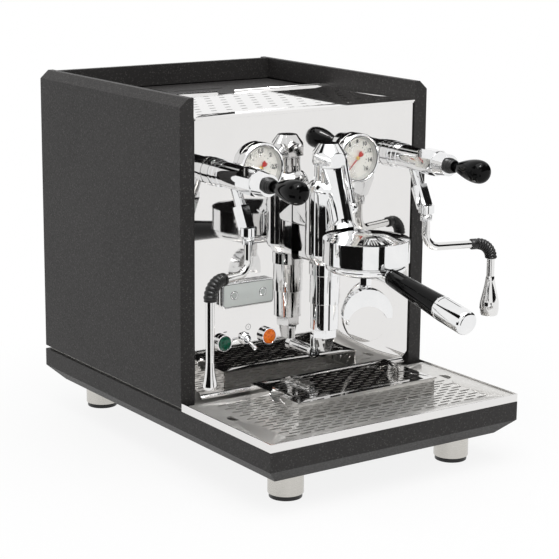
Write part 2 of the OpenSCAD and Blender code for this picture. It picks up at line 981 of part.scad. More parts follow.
// A tilt valve on the left or right: rings, body, faceted nut and outlet.
module valve(side) {
    x = side * valve_x;
    nut_lean = [0, -sin(outlet_lean), -cos(outlet_lean)];
    joint = [x, -joint_y, joint_z];
    difference() {
        union() {
            forward(x, valve_z, plate_y, -4, 15.5, 15.5);
            forward(x, valve_z, -4, -7, 13.8, 13.8);
            forward(x, valve_z, -7, -12, 15.2, 15.2);
            forward(x, valve_z, -12, -19, 14.4, 14.4);
            forward(x, valve_z, -19, -56, valve_r, valve_r);
            translate([x, -56, valve_z])
                rotate([90, 22.5, 0])
                    cylinder(r = valve_r + 1.5, h = 26, $fn = 8);
            forward(x, valve_z, -82, -valve_l, valve_r, 12);
            bar(joint - nut_lean * 56, joint - nut_lean * 30, 6);
            translate(joint - nut_lean * 32)
                rotate([180 - outlet_lean, 0, 0])
                    cylinder(r = 9.8, h = 25, $fn = 6);
            translate(joint)
                cylinder(r = 9, h = 9);
            forward(x, valve_z, 26, plate_y, 8, 8);
        }
        translate([x, -stick_pivot, valve_z])
            sphere(r = 6);
        forward(x, valve_z, -stick_pivot - 1, -valve_l - 1, 5.7, 5.7);
        translate(joint)
            sphere(r = 6.2);
    }
}

module steam_valve() {
    color("#cfd1d3") valve(-1);
}

module water_valve() {
    color("#cfd1d3") valve(1);
}

// Two ribbed rubber sleeves on the valve ends.
module valve_boots() {
    color("#1a1a1a")
        for (side = [-1, 1])
            translate([side * valve_x, -valve_l, valve_z])
                rotate([90, 0, 0])
                    rotate_extrude()
                        polygon([[5.9, 0], [8.2, 0], [8.2, 2.5], [7.2, 3.5], [7.8, 5],
                            [6.9, 6], [7.4, 7.5], [6.6, 9], [5.9, 9]]);
}

// A pear-shaped knob on its stick, with the ball it tilts about.
module knob(side) {
    x = side * valve_x;
    color("#111111") {
        translate([x, -stick_pivot, valve_z])
            sphere(r = 5.6);
        forward(x, valve_z, -stick_pivot, -110, 3.2, 3.2);
        forward(x, valve_z, -109, -knob_y + 4.5, 4.2, knob_r - 1.1);
        translate([x, -knob_y, valve_z])
            sphere(r = knob_r);
    }
}

module steam_knob() {
    knob(-1);
}

module water_knob() {
    knob(1);
}

// The swivel ball inside a valve's outlet, with the collar below it.
module swivel(side) {
    color("#cfd1d3")
        translate([side * valve_x, -joint_y, joint_z])
            difference() {
                union() {
                    sphere(r = 5.9);
                    translate([0, 0, -9])
                        cylinder(r = 6.8, h = 7.4);
                }
                translate([0, 0, -10])
                    cylinder(r = tube_r, h = 8.4);
            }
}

module steam_ball() {
    swivel(-1);
}

module water_ball() {
    swivel(1);
}

// Places its children in a wand's own frame: +X along its reach, joint at the origin.
module on_wand(side, turn) {
    translate([side * valve_x, -joint_y, joint_z])
        rotate([0, 0, turn])
            children();
}

// A quarter bend in the XZ plane that turns from down to outward.
module bend_out(r, thick) {
    translate([r, 0, 0])
        rotate([90, 0, 0])
            rotate([0, 0, 180])
                rotate_extrude(angle = 90)
                    translate([r, 0])
                        circle(r = thick);
}

// A quarter bend in the XZ plane that turns from outward to down.
module bend_down(r, thick) {
    translate([0, 0, -r])
        rotate([90, 0, 0])
            rotate_extrude(angle = 90)
                translate([r, 0])
                    circle(r = thick);
}

// A wand's tube: down, out, over the covered bend and down again.
module wand_tube(drop, reach, lower) {
    cylinder_at(0, 0, -drop, -3, tube_r);
    translate([0, 0, -drop])
        bend_out(bend_r, tube_r);
    translate([bend_r, 0, -drop - bend_r])
        rotate([0, 90, 0])
            cylinder(r = tube_r, h = reach - bend_r);
    translate([reach, 0, -drop - bend_r])
        bend_down(elbow_r, tube_r);
    cylinder_at(reach + elbow_r, 0, -lower, -drop - bend_r - elbow_r, tube_r);
}

steam_drop = 25;
steam_reach = 41.5;
steam_low = 127;
water_drop = 24;
water_reach = 65;
water_low = 80;

// The steam wand ends in a flared tip with four small jets.
module steam_wand() {
    color("#c9cbcc")
        on_wand(-1, steam_turn)
            difference() {
                union() {
                    wand_tube(steam_drop, steam_reach, steam_low);
                    translate([steam_reach + elbow_r, 0, -steam_low]) {
                        translate([0, 0, -24])
                            cylinder(r1 = 8, r2 = tube_r, h = 24);
                        translate([0, 0, -26])
                            cylinder(r = 8, h = 2);
                        translate([0, 0, -30])
                            cylinder(r1 = 4, r2 = 8, h = 4);
                    }
                }
                for (a = [0:90:270])
                    translate([steam_reach + elbow_r, 0, -steam_low - 26])
                        rotate([0, 0, a])
                            rotate([0, 120, 0])
                                cylinder(r = 0.8, h = 12);
            }
}

// The water wand ends in a wide bulb, open below and through four windows.
module water_wand() {
    color("#c9cbcc")
        on_wand(1, water_turn)
            difference() {
                union() {
                    wand_tube(water_drop, water_reach, water_low);
                    translate([water_reach + elbow_r, 0, -water_low]) {
                        translate([0, 0, -30])
                            cylinder(r1 = 11.2, r2 = tube_r + 0.6, h = 30);
                        translate([0, 0, -37])
                            cylinder(r = 11.2, h = 7);
                        translate([0, 0, -45])
                            cylinder(r1 = 10, r2 = 11.2, h = 8);
                    }
                }
                translate([water_reach + elbow_r, 0, -water_low - 46])
                    cylinder(r = 6.5, h = 17);
                for (a = [-20, 70])
                    translate([water_reach + elbow_r, 0, -water_low - 34.5])
                        rotate([0, 0, a])
                            rotate([0, 90, 0])
                                cylinder(r = 3.4, h = 30, center = true);
            }
}

// A ribbed rubber sleeve over a wand's second bend, with a plain collar at one end.
module sleeve(drop, reach, level, low, first_r, last_r) {
    bend_z = -drop - bend_r;
    difference() {
        union() {
            if (level > 0)
                translate([reach - level, 0, bend_z])
                    rotate([0, 90, 0])
                        cylinder(r = 6.2, h = level);
            translate([reach, 0, bend_z])
                bend_down(elbow_r, tube_r + 0.7);
            if (low > 0)
                cylinder_at(reach + elbow_r, 0, bend_z - elbow_r - low, bend_z - elbow_r, 6.9);
            for (i = [1:6])
                translate([reach, 0, bend_z - elbow_r])
                    rotate([0, 90 - i * 13, 0])
                        rotate([0, -90, 0])
                            translate([elbow_r, 0, -0.9])
                                cylinder(r = first_r + (last_r - first_r) * (i - 1) / 5, h = 1.8);
        }
        if (level > 0)
            translate([reach - level - 1, 0, bend_z])
                rotate([0, 90, 0])
                    cylinder(r = tube_r, h = level + 1);
        translate([reach, 0, bend_z])
            bend_down(elbow_r, tube_r);
        if (low > 0)
            cylinder_at(reach + elbow_r, 0, bend_z - elbow_r - low - 1, bend_z - elbow_r, tube_r);
    }
}

module steam_grip() {
    color("#1a1a1a")
        on_wand(-1, steam_turn)
            sleeve(steam_drop, steam_reach, 4, 2, 7.3, 6.8);
}

module water_grip() {
    color("#1a1a1a")
        on_wand(1, water_turn)
            sleeve(water_drop, water_reach, 8.5, 0, 6.8, 7.2);
}

// ---- gauges -------------------------------------------------------------

// Places its children at both gauges, with +Z pointing forward.
module at_gauges() {
    for (side = [-1, 1])
        translate([side * gauge_x, 0, valve_z])
            rotate([90, 0, 0])
                children();
}

module gauge_cases() {
    color("#d2d4d6")
        at_gauges()
            rotate_extrude()
                polygon([[0, -28], [bezel_r - 2.5, -28], [bezel_r - 2.5, -plate_y],
                    [bezel_r, -plate_y], [bezel_r, bezel_h - 3.5], [bezel_r - 1, bezel_h - 2],
                    [bezel_r - 2, bezel_h - 2], [bezel_r - 3, bezel_h - 3], [bezel_r - 3, 6.6],
                    [bezel_r - 3.5, 6.6], [bezel_r - 3.5, -26], [0, -26]]);
}

module gauge_dials() {
    color("#f3f0e4")
        at_gauges()
            translate([0, 0, -dial_y - 1])
                difference() {
                    cylinder(r = bezel_r - 3.5, h = 1);
                    translate([0, 0, -1])
                        cylinder(r = 1.2, h = 3);
                }
}

module gauge_glasses() {
    color("#e8f0f2", 0.3)
        at_gauges()
            translate([0, 0, 6.6])
                cylinder(r = bezel_r - 3, h = 0.8);
}

// A needle at rest on its zero, down and to the left.
module needle(side) {
    color("#b8352a")
        translate([side * gauge_x, needle_y, valve_z])
            rotate([90, 0, 0]) {
                rotate([0, 0, 135])
                    translate([0, 0, -0.3])
                        linear_extrude(0.6)
                            polygon([[-1.9, -7.5], [1.9, -7.5], [1.2, 0], [0.3, 19], [-0.3, 19], [-1.2, 0]]);
                translate([0, 0, -0.8])
                    cylinder(r = 2.2, h = 1.8);
                translate([0, 0, -7])
                    cylinder(r = 1, h = 7);
            }
}

module boiler_needle() {
    needle(-1);
}

module pump_needle() {
    needle(1);
}

// ---- controls -----------------------------------------------------------

module display_box() {
    color("#a9b0aa")
        difference() {
            union() {
                along_y(-6, plate_y)
                    translate([-panel_x, display_z])
                        soft_rect(display_w, display_h, 3.5);
                forward(-panel_x, display_z, 12, plate_y, 4.9, 4.9);
            }
            for (side = [-1, 1])
                forward(-panel_x + side * button_x, display_z, 0.6, -7, button_r + turning, button_r + turning);
        }
}

module display_button(side) {
    color("#8d938e") {
        forward(-panel_x + side * button_x, display_z, -1.3, -6.8, button_r, button_r);
    }
}

module left_button() {
    display_button(-1);
}

module right_button() {
    display_button(1);
}

// Two lamp bezels and the round collar of the switch.
module control_bezels() {
    color("#d2d4d6") {
        for (side = [-1, 1])
            difference() {
                union() {
                    forward(-panel_x + side * lamp_x, lamp_z, plate_y, -4, 9.4, 9.4);
                    forward(-panel_x + side * lamp_x, lamp_z, 18, plate_y, 5.1, 5.1);
                }
                forward(-panel_x + side * lamp_x, lamp_z, -0.5, -5, 8.4, 8.4);
            }
        difference() {
            union() {
                forward(-panel_x, switch_z, plate_y, 0, 7, 7);
                forward(-panel_x, switch_z, 0, -4, 6.6, 5.4);
                forward(-panel_x, switch_z, 20, plate_y, 5.5, 5.5);
            }
            translate([-panel_x, -switch_y, switch_z])
                sphere(r = 4.1);
            forward(-panel_x, switch_z, -switch_y, -5, 4.1, 4.7);
        }
    }
}

// The switch lever, down at rest.
module switch_lever() {
    color("#d2d4d6")
        translate([-panel_x, -switch_y, switch_z]) {
            sphere(r = 3.8);
            rotate([90 + 22.5, 0, 0]) {
                cylinder(r1 = 1.8, r2 = 2.3, h = 18);
                translate([0, 0, 18])
                    sphere(r = 2.6);
            }
        }
}

module lamp_lenses() {
    for (side = [-1, 1])
        color(side < 0 ? "#0c6b4e" : "#f08a1d")
            translate([-panel_x + side * lamp_x, -0.5, lamp_z])
                rotate([90, 0, 0]) {
                    cylinder(r = 8.4, h = 3.8);
                    translate([0, 0, 3.8])
                        cylinder(r1 = 8.2, r2 = 5, h = 1.7);
                }
}

// The swivelling cover over the expansion valve's screw.
module cover_disc() {
    color("#d9dadb")
        along_y(0.2, 1.7)
            difference() {
                translate([disc_x, disc_z])
                    circle(r = disc_r);
                translate([disc_x - pivot_dx, disc_z - pivot_dz])
                    circle(r = 1.6);
            }
}

// ---- inside -------------------------------------------------------------

module steam_boiler() {
    color("#c3c6c7") {
        translate([-steam_l / 2, boiler_y, boiler_z])
            rotate([0, 90, 0]) {
                cylinder(r = steam_r, h = steam_l);
                translate([0, 0, -8])
                    cylinder(r = steam_r - 8, h = 8);
                translate([0, 0, steam_l])
                    cylinder(r = steam_r - 12, h = 6);
            }
        for (x = [-60, 0, 60])
            cylinder_at(x, boiler_y, boiler_z + steam_r - 3, boiler_z + steam_r + 7, 8);
    }
}

module brew_boiler() {
    color("#c3c6c7") {
        cylinder_at(0, brew_y, brew_z, brew_z + brew_h, brew_r);
        cylinder_at(0, brew_y, brew_z + brew_h, brew_z + brew_h + 8, brew_r - 6);
        block([-18, neck_back, 232], [18, brew_y, 300]);
        translate([-brew_r - 5, brew_y, 228])
            rotate([0, 90, 0])
                cylinder(r = 7, h = 20);
    }
}

module pump_head() {
    color("#c8a24a")
        difference() {
            union() {
                forward(motor_x, motor_z, 122, 66, 29, 29);
                cylinder_at(motor_x, 92, motor_z, motor_z + 36, 7);
                translate([motor_x, 92, motor_z])
                    rotate([0, 90, 0])
                        cylinder(r = 7, h = 36);
                block([motor_x - 22, 70, floor_z], [motor_x + 22, 118, motor_z - 18]);
            }
            forward(motor_x, motor_z, 123, 108, 6.1, 6.1);
        }
}

module pump_motor() {
    color("#6f7478")
        difference() {
            union() {
                forward(motor_x, motor_z, motor_back, motor_front, motor_r, motor_r);
                for (y = [motor_front + 22:14:motor_back - 18])
                    forward(motor_x, motor_z, y, y - 4, motor_r + 1.5, motor_r + 1.5);
                block([motor_x - 34, motor_front + 12, floor_z],
                    [motor_x + 34, motor_back - 12, motor_z - 30]);
            }
            forward(motor_x, motor_z, 174, 147, 6.1, 6.1);
        }
}

module pump_coupling() {
    color("#2b2b2b")
        difference() {
            union() {
                forward(motor_x, motor_z, 172, 110, 6, 6);
                forward(motor_x, motor_z, 143, 127, 15, 15);
            }
            for (a = [0:60:300])
                translate([motor_x + 10.5 * cos(a), 144, motor_z + 10.5 * sin(a)])
                    rotate([90, 0, 0])
                        cylinder(r = 2.2, h = 18);
        }
}

module control_box() {
    color("#3a3d40") {
        block([60, 50, floor_z], [127, 196, 176]);
        block([58, 48, 176], [129, 198, 180]);
    }
}

// Steam, water and feed pipes, and the expansion valve behind its hole.
module water_pipes() {
    color("#b87a45") {
        top = boiler_z + steam_r + 7;
        for (side = [-1, 1])
            pipe([[side * 60, boiler_y, top], [side * 60, boiler_y, top + 8],
                [side * valve_x, boiler_y, top + 8], [side * valve_x, 70, top + 8],
                [side * valve_x, 70, valve_z], [side * valve_x, 26, valve_z]], 4);
        pipe([[motor_x, 92, motor_z + 36], [motor_x, 92, 228], [-80, brew_y, 228],
            [-brew_r - 5, brew_y, 228]], 4);
        pipe([[tank_x, tank_y, shelf_z - skin - 14], [tank_x, tank_y, 96], [tank_x, 92, 96],
            [motor_x + 44, 92, 96], [motor_x + 44, 92, motor_z], [motor_x + 36, 92, motor_z]], 4);
        pipe([[0, boiler_y, top], [0, boiler_y, top + 9]], 6);
        forward(disc_x, disc_z, 6, plate_back, 22, 22);
        forward(disc_x, disc_z, 32, 6, 9, 9);
        forward(disc_x, disc_z, plate_back, plate_y + 0.2, 5, 5);
    }
}

// The cord inlet in the rear wall, with three blades.
module mains_inlet() {
    color("#1c1c1c")
        difference() {
            union() {
                block([92 - 24, side_d - 26, 98], [92 + 24, side_d, 126]);
                block([92 - 28, side_d, 95], [92 + 28, side_d + 2, 129]);
            }
            block([92 - 14, side_d - 14, 103], [92 + 14, side_d + 3, 121]);
        }
    color("#b9b9b7")
        for (x = [-7, 0, 7])
            block([92 + x - 1, side_d - 15, x == 0 ? 113 : 107], [92 + x + 1, side_d - 3, x == 0 ? 117 : 111]);
}

// Rear wall screws and the cover disc's pivot screw.
module screws() {
    color("#b9b9b7") {
        for (sx = [-1, 1], z = [90, 215, 330])
            translate([sx * (in_x - 8), side_d - 8, z]) {
                rotate([-90, 0, 0])
                    cylinder(r = 1.9, h = 8);
                translate([0, 8, 0])
                    rotate([-90, 0, 0])
                        cylinder(r = 3.6, h = 2);
            }
        forward(disc_x - pivot_dx, disc_z - pivot_dz, 7, -0.2, 1.4, 1.4);
        forward(disc_x - pivot_dx, disc_z - pivot_dz, -0.2, -1.4, 2.8, 2.2);
    }
}

base_pan();
foot_sleeves();
foot_pads();
chassis_frame();
front_plate();
left_panel();
right_panel();
rear_panel();
cup_tray();
tank_lid();
water_tank();
tank_valve();
drip_tray();
drip_grid();
cup_stand();
group_body();
group_cap();
infusion_chamber();
drain_outlet();
cam_gland();
group_lever();
group_seal();
shower_screen();
portafilter();
filter_basket();
handle_grip();
handle_cap();
double_spout();
steam_valve();
water_valve();
valve_boots();
steam_knob();
water_knob();
steam_ball();
water_ball();
steam_wand();
water_wand();
steam_grip();
water_grip();
gauge_cases();
gauge_dials();
gauge_glasses();
boiler_needle();
pump_needle();
display_box();
left_button();
right_button();
control_bezels();
switch_lever();
lamp_lenses();
cover_disc();
steam_boiler();
brew_boiler();
pump_head();
pump_motor();
pump_coupling();
control_box();
water_pipes();
mains_inlet();
screws();
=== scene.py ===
import json
import math
import bmesh
import bpy
from mathutils import Matrix, Vector

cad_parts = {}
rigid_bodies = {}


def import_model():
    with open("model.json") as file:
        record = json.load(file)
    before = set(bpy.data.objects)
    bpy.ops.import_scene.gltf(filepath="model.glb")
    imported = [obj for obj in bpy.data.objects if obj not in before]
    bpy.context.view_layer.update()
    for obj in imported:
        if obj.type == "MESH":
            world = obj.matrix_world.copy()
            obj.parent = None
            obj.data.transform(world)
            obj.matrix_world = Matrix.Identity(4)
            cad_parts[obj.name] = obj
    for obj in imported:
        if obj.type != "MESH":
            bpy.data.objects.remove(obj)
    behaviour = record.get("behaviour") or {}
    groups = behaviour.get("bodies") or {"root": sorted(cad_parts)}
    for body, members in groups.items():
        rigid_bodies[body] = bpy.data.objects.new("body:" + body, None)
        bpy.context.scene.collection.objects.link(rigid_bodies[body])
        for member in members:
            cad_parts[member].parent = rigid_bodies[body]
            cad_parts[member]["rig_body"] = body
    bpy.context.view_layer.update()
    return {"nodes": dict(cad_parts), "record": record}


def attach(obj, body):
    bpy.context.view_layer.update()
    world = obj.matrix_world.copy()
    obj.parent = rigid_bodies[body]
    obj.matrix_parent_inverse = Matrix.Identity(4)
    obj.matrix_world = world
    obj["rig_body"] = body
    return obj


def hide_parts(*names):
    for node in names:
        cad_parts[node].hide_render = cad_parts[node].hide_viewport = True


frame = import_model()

mm = 0.001
front = (0, -1, 0)  # the way the machine faces
nodes = frame["nodes"]
slotOfNode = {s["node"]: s["material_slot"] for s in frame["record"]["subparts"]}
bodyOfNode = {n: nodes[n]["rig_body"] for n in nodes}


# small mesh tools

def finishPiece(name, bm, body, material, sharp=30.0, bevel=0.0, replaced=()):
    mesh = bpy.data.meshes.new(name)
    bm.to_mesh(mesh)
    bm.free()
    mesh.shade_smooth()
    mesh.set_sharp_from_angle(angle=math.radians(sharp))
    piece = bpy.data.objects.new(name, mesh)
    bpy.context.scene.collection.objects.link(piece)
    mesh.materials.append(material)
    if bevel > 0:
        soften = piece.modifiers.new("edgeRounding", "BEVEL")
        soften.width = bevel * mm
        soften.segments = 2
        soften.limit_method = "ANGLE"
        soften.angle_limit = math.radians(32)
        soften.harden_normals = True
        soften.use_clamp_overlap = True
    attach(piece, body)
    if replaced:
        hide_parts(*replaced)
    return piece


def dressNode(node, material, bevel=0.3, sharp=30.0):
    # a merged, smooth-shaded copy of a solid with its edges rounded
    bm = bmesh.new()
    bm.from_mesh(nodes[node].data)
    bmesh.ops.remove_doubles(bm, verts=bm.verts, dist=1e-6)
    if bevel > 0:
        bmesh.ops.dissolve_limit(bm, angle_limit=math.radians(0.2), verts=bm.verts, edges=bm.edges)
    return finishPiece(node + "_dressed", bm, bodyOfNode[node], material, sharp, bevel,
                       (node,))


def turned(profile, steps=96, closed=False):
    # spins (radius, height) points about Z
    bm = bmesh.new()
    ring = [bm.verts.new((r * mm, 0, z * mm)) for r, z in profile]
    edges = [bm.edges.new(pair) for pair in zip(ring, ring[1:])]
    if closed:
        edges.append(bm.edges.new((ring[-1], ring[0])))
    bmesh.ops.spin(bm, geom=ring + edges, cent=(0, 0, 0), axis=(0, 0, 1), angle=math.tau, steps=steps,
                   use_merge=True)
    bmesh.ops.remove_doubles(bm, verts=bm.verts, dist=1e-6)
    bmesh.ops.recalc_face_normals(bm, faces=bm.faces)
    return bm


def roundEdges(bm, width, angle=32.0, segments=3):
    picked = [e for e in bm.edges if len(e.link_faces) == 2 and e.calc_face_angle() > math.radians(angle)]
    bmesh.ops.bevel(bm, geom=picked, offset=width * mm, offset_type="OFFSET", segments=segments,
                    profile=0.5, affect="EDGES", material=-1, clamp_overlap=True)
    return bm


def place(bm, origin, direction=(0, 0, 1), roll=0.0):
    # moves a mesh made about +Z so that +Z points along direction
    turn = Vector((0, 0, 1)).rotation_difference(Vector(direction)).to_matrix().to_4x4()
    shift = Matrix.Translation(Vector(origin) * mm)
    bmesh.ops.transform(bm, matrix=shift @ turn @ Matrix.Rotation(math.radians(roll), 4, "Z"), verts=bm.verts)
    return bm


def curveThrough(points, count):
    # evenly spread points on a smooth line through the given ones
    path = [Vector(p) for p in points]
    fine = []
    for i in range(len(path) - 1):
        a, b, c, d = path[max(i - 1, 0)], path[i], path[i + 1], path[min(i + 2, len(path) - 1)]
        for k in range(16):
            t = k / 16
            fine.append(0.5 * ((2 * b) + (c - a) * t + (2 * a - 5 * b + 4 * c - d) * t ** 2
                               + (3 * b - a - 3 * c + d) * t ** 3))
    fine.append(path[-1])
    runs = [0.0]
    for a, b in zip(fine, fine[1:]):
        runs.append(runs[-1] + (b - a).length)
    out = []
    j = 0
    for n in range(count):
        want = runs[-1] * n / (count - 1)
        while j < len(fine) - 2 and runs[j + 1] < want:
            j += 1
        span = max(runs[j + 1] - runs[j], 1e-9)
        out.append(fine[j].lerp(fine[j + 1], min(1.0, (want - runs[j]) / span)))
    return out


def swept(points, radii, sides):
    # one closed tube along points, in millimetres, with a radius at each
    bm = bmesh.new()
    ahead = (Vector(points[1]) - Vector(points[0])).normalized()
    side = ahead.orthogonal().normalized()
    ring = bmesh.ops.create_circle(bm, cap_ends=False, segments=sides, radius=mm)["verts"]
    basis = Matrix((side, ahead.cross(side), ahead)).transposed().to_4x4()
    bmesh.ops.transform(bm, verts=ring, matrix=Matrix.Translation(Vector(points[0]) * mm) @ basis
                        @ Matrix.Diagonal((radii[0], radii[0], 1, 1)))
    loops = [list({e for v in ring for e in v.link_edges})]
    bmesh.ops.contextual_create(bm, geom=loops[0])
    for i in range(1, len(points)):
        made = bmesh.ops.extrude_edge_only(bm, edges=loops[-1])["geom"]
        verts = [g for g in made if isinstance(g, bmesh.types.BMVert)]
        here, last = Vector(points[i]), Vector(points[i - 1])
        onward = Vector(points[min(i + 1, len(points) - 1)]) - last
        bend = ahead.rotation_difference(onward.normalized()).to_matrix().to_4x4()
        grow = radii[i] / radii[i - 1]
        move = (Matrix.Translation(here * mm) @ bend @ Matrix.Scale(grow, 4) @ Matrix.Translation(-last * mm))
        bmesh.ops.transform(bm, verts=verts, matrix=move)
        ahead = onward.normalized()
        loops.append([g for g in made if isinstance(g, bmesh.types.BMEdge)
                      and all(v in verts for v in g.verts)])
    bmesh.ops.contextual_create(bm, geom=loops[-1])
    bmesh.ops.recalc_face_normals(bm, faces=bm.faces)
    return bm


def joined(name, parts, body, material, sharp=30.0, replaced=()):
    # several closed shells in one piece
    whole = bmesh.new()
    for part in parts:
        scratch = bpy.data.meshes.new("scratch")
        part.to_mesh(scratch)
        part.free()
        whole.from_mesh(scratch)
        bpy.data.meshes.remove(scratch)
    return finishPiece(name, whole, body, material, sharp, 0.0, replaced)


# shared effects, each a node group that gives values for the materials below

def newGroup(name, inputs, outputs):
    tree = bpy.data.node_groups.new(name, "ShaderNodeTree")
    for label, kind, value in inputs:
        socket = tree.interface.new_socket(name=label, in_out="INPUT", socket_type=kind)
        if value is not None:
            socket.default_value = value
    for label, kind in outputs:
        tree.interface.new_socket(name=label, in_out="OUTPUT", socket_type=kind)
    return tree, tree.nodes.new("NodeGroupInput"), tree.nodes.new("NodeGroupOutput")


def addNode(tree, kind, **settings):
    node = tree.nodes.new(kind)
    for key, value in settings.items():
        if key.startswith("in_"):
            node.inputs[key[3:].replace("_", " ")].default_value = value
        else:
            setattr(node, key, value)
    return node


def mathNode(tree, operation, a, b=0.5):
    node = tree.nodes.new("ShaderNodeMath")
    node.operation = operation
    for socket, value in zip(node.inputs, (a, b)):
        if isinstance(value, (int, float)):
            socket.default_value = value
        else:
            tree.links.new(value, socket)
    return node.outputs[0]


def remap(tree, value, low, high, toLow, toHigh):
    node = tree.nodes.new("ShaderNodeMapRange")
    node.clamp = True
    tree.links.new(value, node.inputs["Value"])
    for label, v in (("From Min", low), ("From Max", high), ("To Min", toLow), ("To Max", toHigh)):
        if isinstance(v, (int, float)):
            node.inputs[label].default_value = v
        else:
            tree.links.new(v, node.inputs[label])
    return node.outputs["Result"]


def buildGroups():
    made = {}
    number = "NodeSocketFloat"
    # cloudy variation between two values
    tree, gin, gout = newGroup("cloudyValue",
                               [("Scale", number, 40.0), ("Low", number, 0.0), ("High", number, 1.0)],
                               [("Value", number)])
    where = addNode(tree, "ShaderNodeTexCoord")
    noise = addNode(tree, "ShaderNodeTexNoise", in_Detail=4.0, in_Roughness=0.55)
    tree.links.new(where.outputs["Object"], noise.inputs["Vector"])
    tree.links.new(gin.outputs["Scale"], noise.inputs["Scale"])
    tree.links.new(remap(tree, noise.outputs["Fac"], 0.3, 0.7, gin.outputs["Low"], gin.outputs["High"]),
                   gout.inputs["Value"])
    made["cloudyValue"] = tree

    # sprayed grains: a height and a few bright flakes
    tree, gin, gout = newGroup("sprayedGrain", [("Grains", number, 600.0)],
                               [("Height", number), ("Flakes", number)])
    where = addNode(tree, "ShaderNodeTexCoord")
    noise = addNode(tree, "ShaderNodeTexNoise", in_Detail=3.0, in_Roughness=0.7)
    cells = addNode(tree, "ShaderNodeTexVoronoi")
    for texture in (noise, cells):
        tree.links.new(where.outputs["Object"], texture.inputs["Vector"])
        tree.links.new(gin.outputs["Grains"], texture.inputs["Scale"])
    split = addNode(tree, "ShaderNodeSeparateColor")
    tree.links.new(cells.outputs["Color"], split.inputs[0])
    tree.links.new(noise.outputs["Fac"], gout.inputs["Height"])
    tree.links.new(remap(tree, split.outputs[0], 0.86, 1.0, 0.0, 1.0), gout.inputs["Flakes"])
    made["sprayedGrain"] = tree

    # fine parallel scratches, stretched by a scale along each axis
    tree, gin, gout = newGroup("brushedLines",
                               [("Stretch", "NodeSocketVector", (20.0, 900.0, 900.0)), ("Low", number, 0.2),
                                ("High", number, 0.4)],
                               [("Height", number), ("Value", number)])
    where = addNode(tree, "ShaderNodeTexCoord")
    stretch = addNode(tree, "ShaderNodeVectorMath", operation="MULTIPLY")
    noise = addNode(tree, "ShaderNodeTexNoise", in_Scale=1.0, in_Detail=3.0, in_Roughness=0.6)
    tree.links.new(where.outputs["Object"], stretch.inputs[0])
    tree.links.new(gin.outputs["Stretch"], stretch.inputs[1])
    tree.links.new(stretch.outputs[0], noise.inputs["Vector"])
    tree.links.new(noise.outputs["Fac"], gout.inputs["Height"])
    tree.links.new(remap(tree, noise.outputs["Fac"], 0.3, 0.7, gin.outputs["Low"], gin.outputs["High"]),
                   gout.inputs["Value"])
    made["brushedLines"] = tree

    # finger marks and polishing haze: soft patches crossed by finer ones
    tree, gin, gout = newGroup("wipedHaze", [("Scale", number, 22.0), ("Amount", number, 0.05)],
                               [("Value", number)])
    where = addNode(tree, "ShaderNodeTexCoord")
    broad = addNode(tree, "ShaderNodeTexNoise", in_Detail=2.0)
    fine = addNode(tree, "ShaderNodeTexNoise", in_Detail=5.0, in_Roughness=0.7)
    tree.links.new(where.outputs["Object"], broad.inputs["Vector"])
    tree.links.new(where.outputs["Object"], fine.inputs["Vector"])
    tree.links.new(gin.outputs["Scale"], broad.inputs["Scale"])
    tree.links.new(mathNode(tree, "MULTIPLY", gin.outputs["Scale"], 9.0), fine.inputs["Scale"])
    patches = remap(tree, broad.outputs["Fac"], 0.45, 0.7, 0.0, 1.0)
    both = mathNode(tree, "MULTIPLY", patches, fine.outputs["Fac"])
    tree.links.new(mathNode(tree, "MULTIPLY", both, gin.outputs["Amount"]), gout.inputs["Value"])
    made["wipedHaze"] = tree
    return made


groups = buildGroups()


class Finish:
    # one material in the making
    def __init__(self, name, **settings):
        self.material = bpy.data.materials.new(name)
        self.material.use_nodes = True
        self.tree = self.material.node_tree
        self.shader = self.tree.nodes["Principled BSDF"]
        for key, value in settings.items():
            self.shader.inputs[key.replace("_", " ")].default_value = value

    def group(self, name, **values):
        node = self.tree.nodes.new("ShaderNodeGroup")
        node.node_tree = groups[name]
        for key, value in values.items():
            node.inputs[key].default_value = value
        return node

    def link(self, output, label):
        self.tree.links.new(output, self.shader.inputs[label])

    def cloud(self, scale, low=0.0, high=1.0):
        # soft patches between two values
        return self.group("cloudyValue", Scale=scale, Low=low, High=high).outputs[0]

    def haze(self, scale, amount, base):
        # finger marks on top of a roughness
        marks = self.group("wipedHaze", Scale=scale, Amount=amount)
        return mathNode(self.tree, "ADD", marks.outputs[0], base)

    def grain(self, grains):
        return self.group("sprayedGrain", Grains=grains).outputs["Height"]

    def colours(self, value, dark, light):
        mix = self.tree.nodes.new("ShaderNodeMix")
        mix.data_type = "RGBA"
        mix.inputs["A"].default_value = (*dark, 1)
        mix.inputs["B"].default_value = (*light, 1)
        self.tree.links.new(value, mix.inputs["Factor"])
        return mix.outputs["Result"]

    def overlay(self, value, under, colour):
        mix = self.tree.nodes.new("ShaderNodeMix")
        mix.data_type = "RGBA"
        self.tree.links.new(value, mix.inputs["Factor"])
        self.tree.links.new(under, mix.inputs["A"])
        mix.inputs["B"].default_value = (*colour, 1)
        return mix.outputs["Result"]

    def bump(self, height, strength, distance):
        node = self.tree.nodes.new("ShaderNodeBump")
        node.inputs["Strength"].default_value = strength
        node.inputs["Distance"].default_value = distance * mm
        self.tree.links.new(height, node.inputs["Height"])
        self.link(node.outputs["Normal"], "Normal")


def powderCoat():
    f = Finish("powderCoat", Specular_IOR_Level=0.3)
    grain = f.group("sprayedGrain", Grains=900.0)
    base = f.colours(f.cloud(9.0), (0.019, 0.0175, 0.017), (0.025, 0.0232, 0.0225))
    speck = mathNode(f.tree, "MULTIPLY", grain.outputs["Flakes"], 0.5)
    f.link(f.overlay(speck, base, (0.11, 0.105, 0.10)), "Base Color")
    f.link(f.cloud(500.0, 0.42, 0.66), "Roughness")
    f.bump(grain.outputs["Height"], 0.35, 0.12)
    return f.material


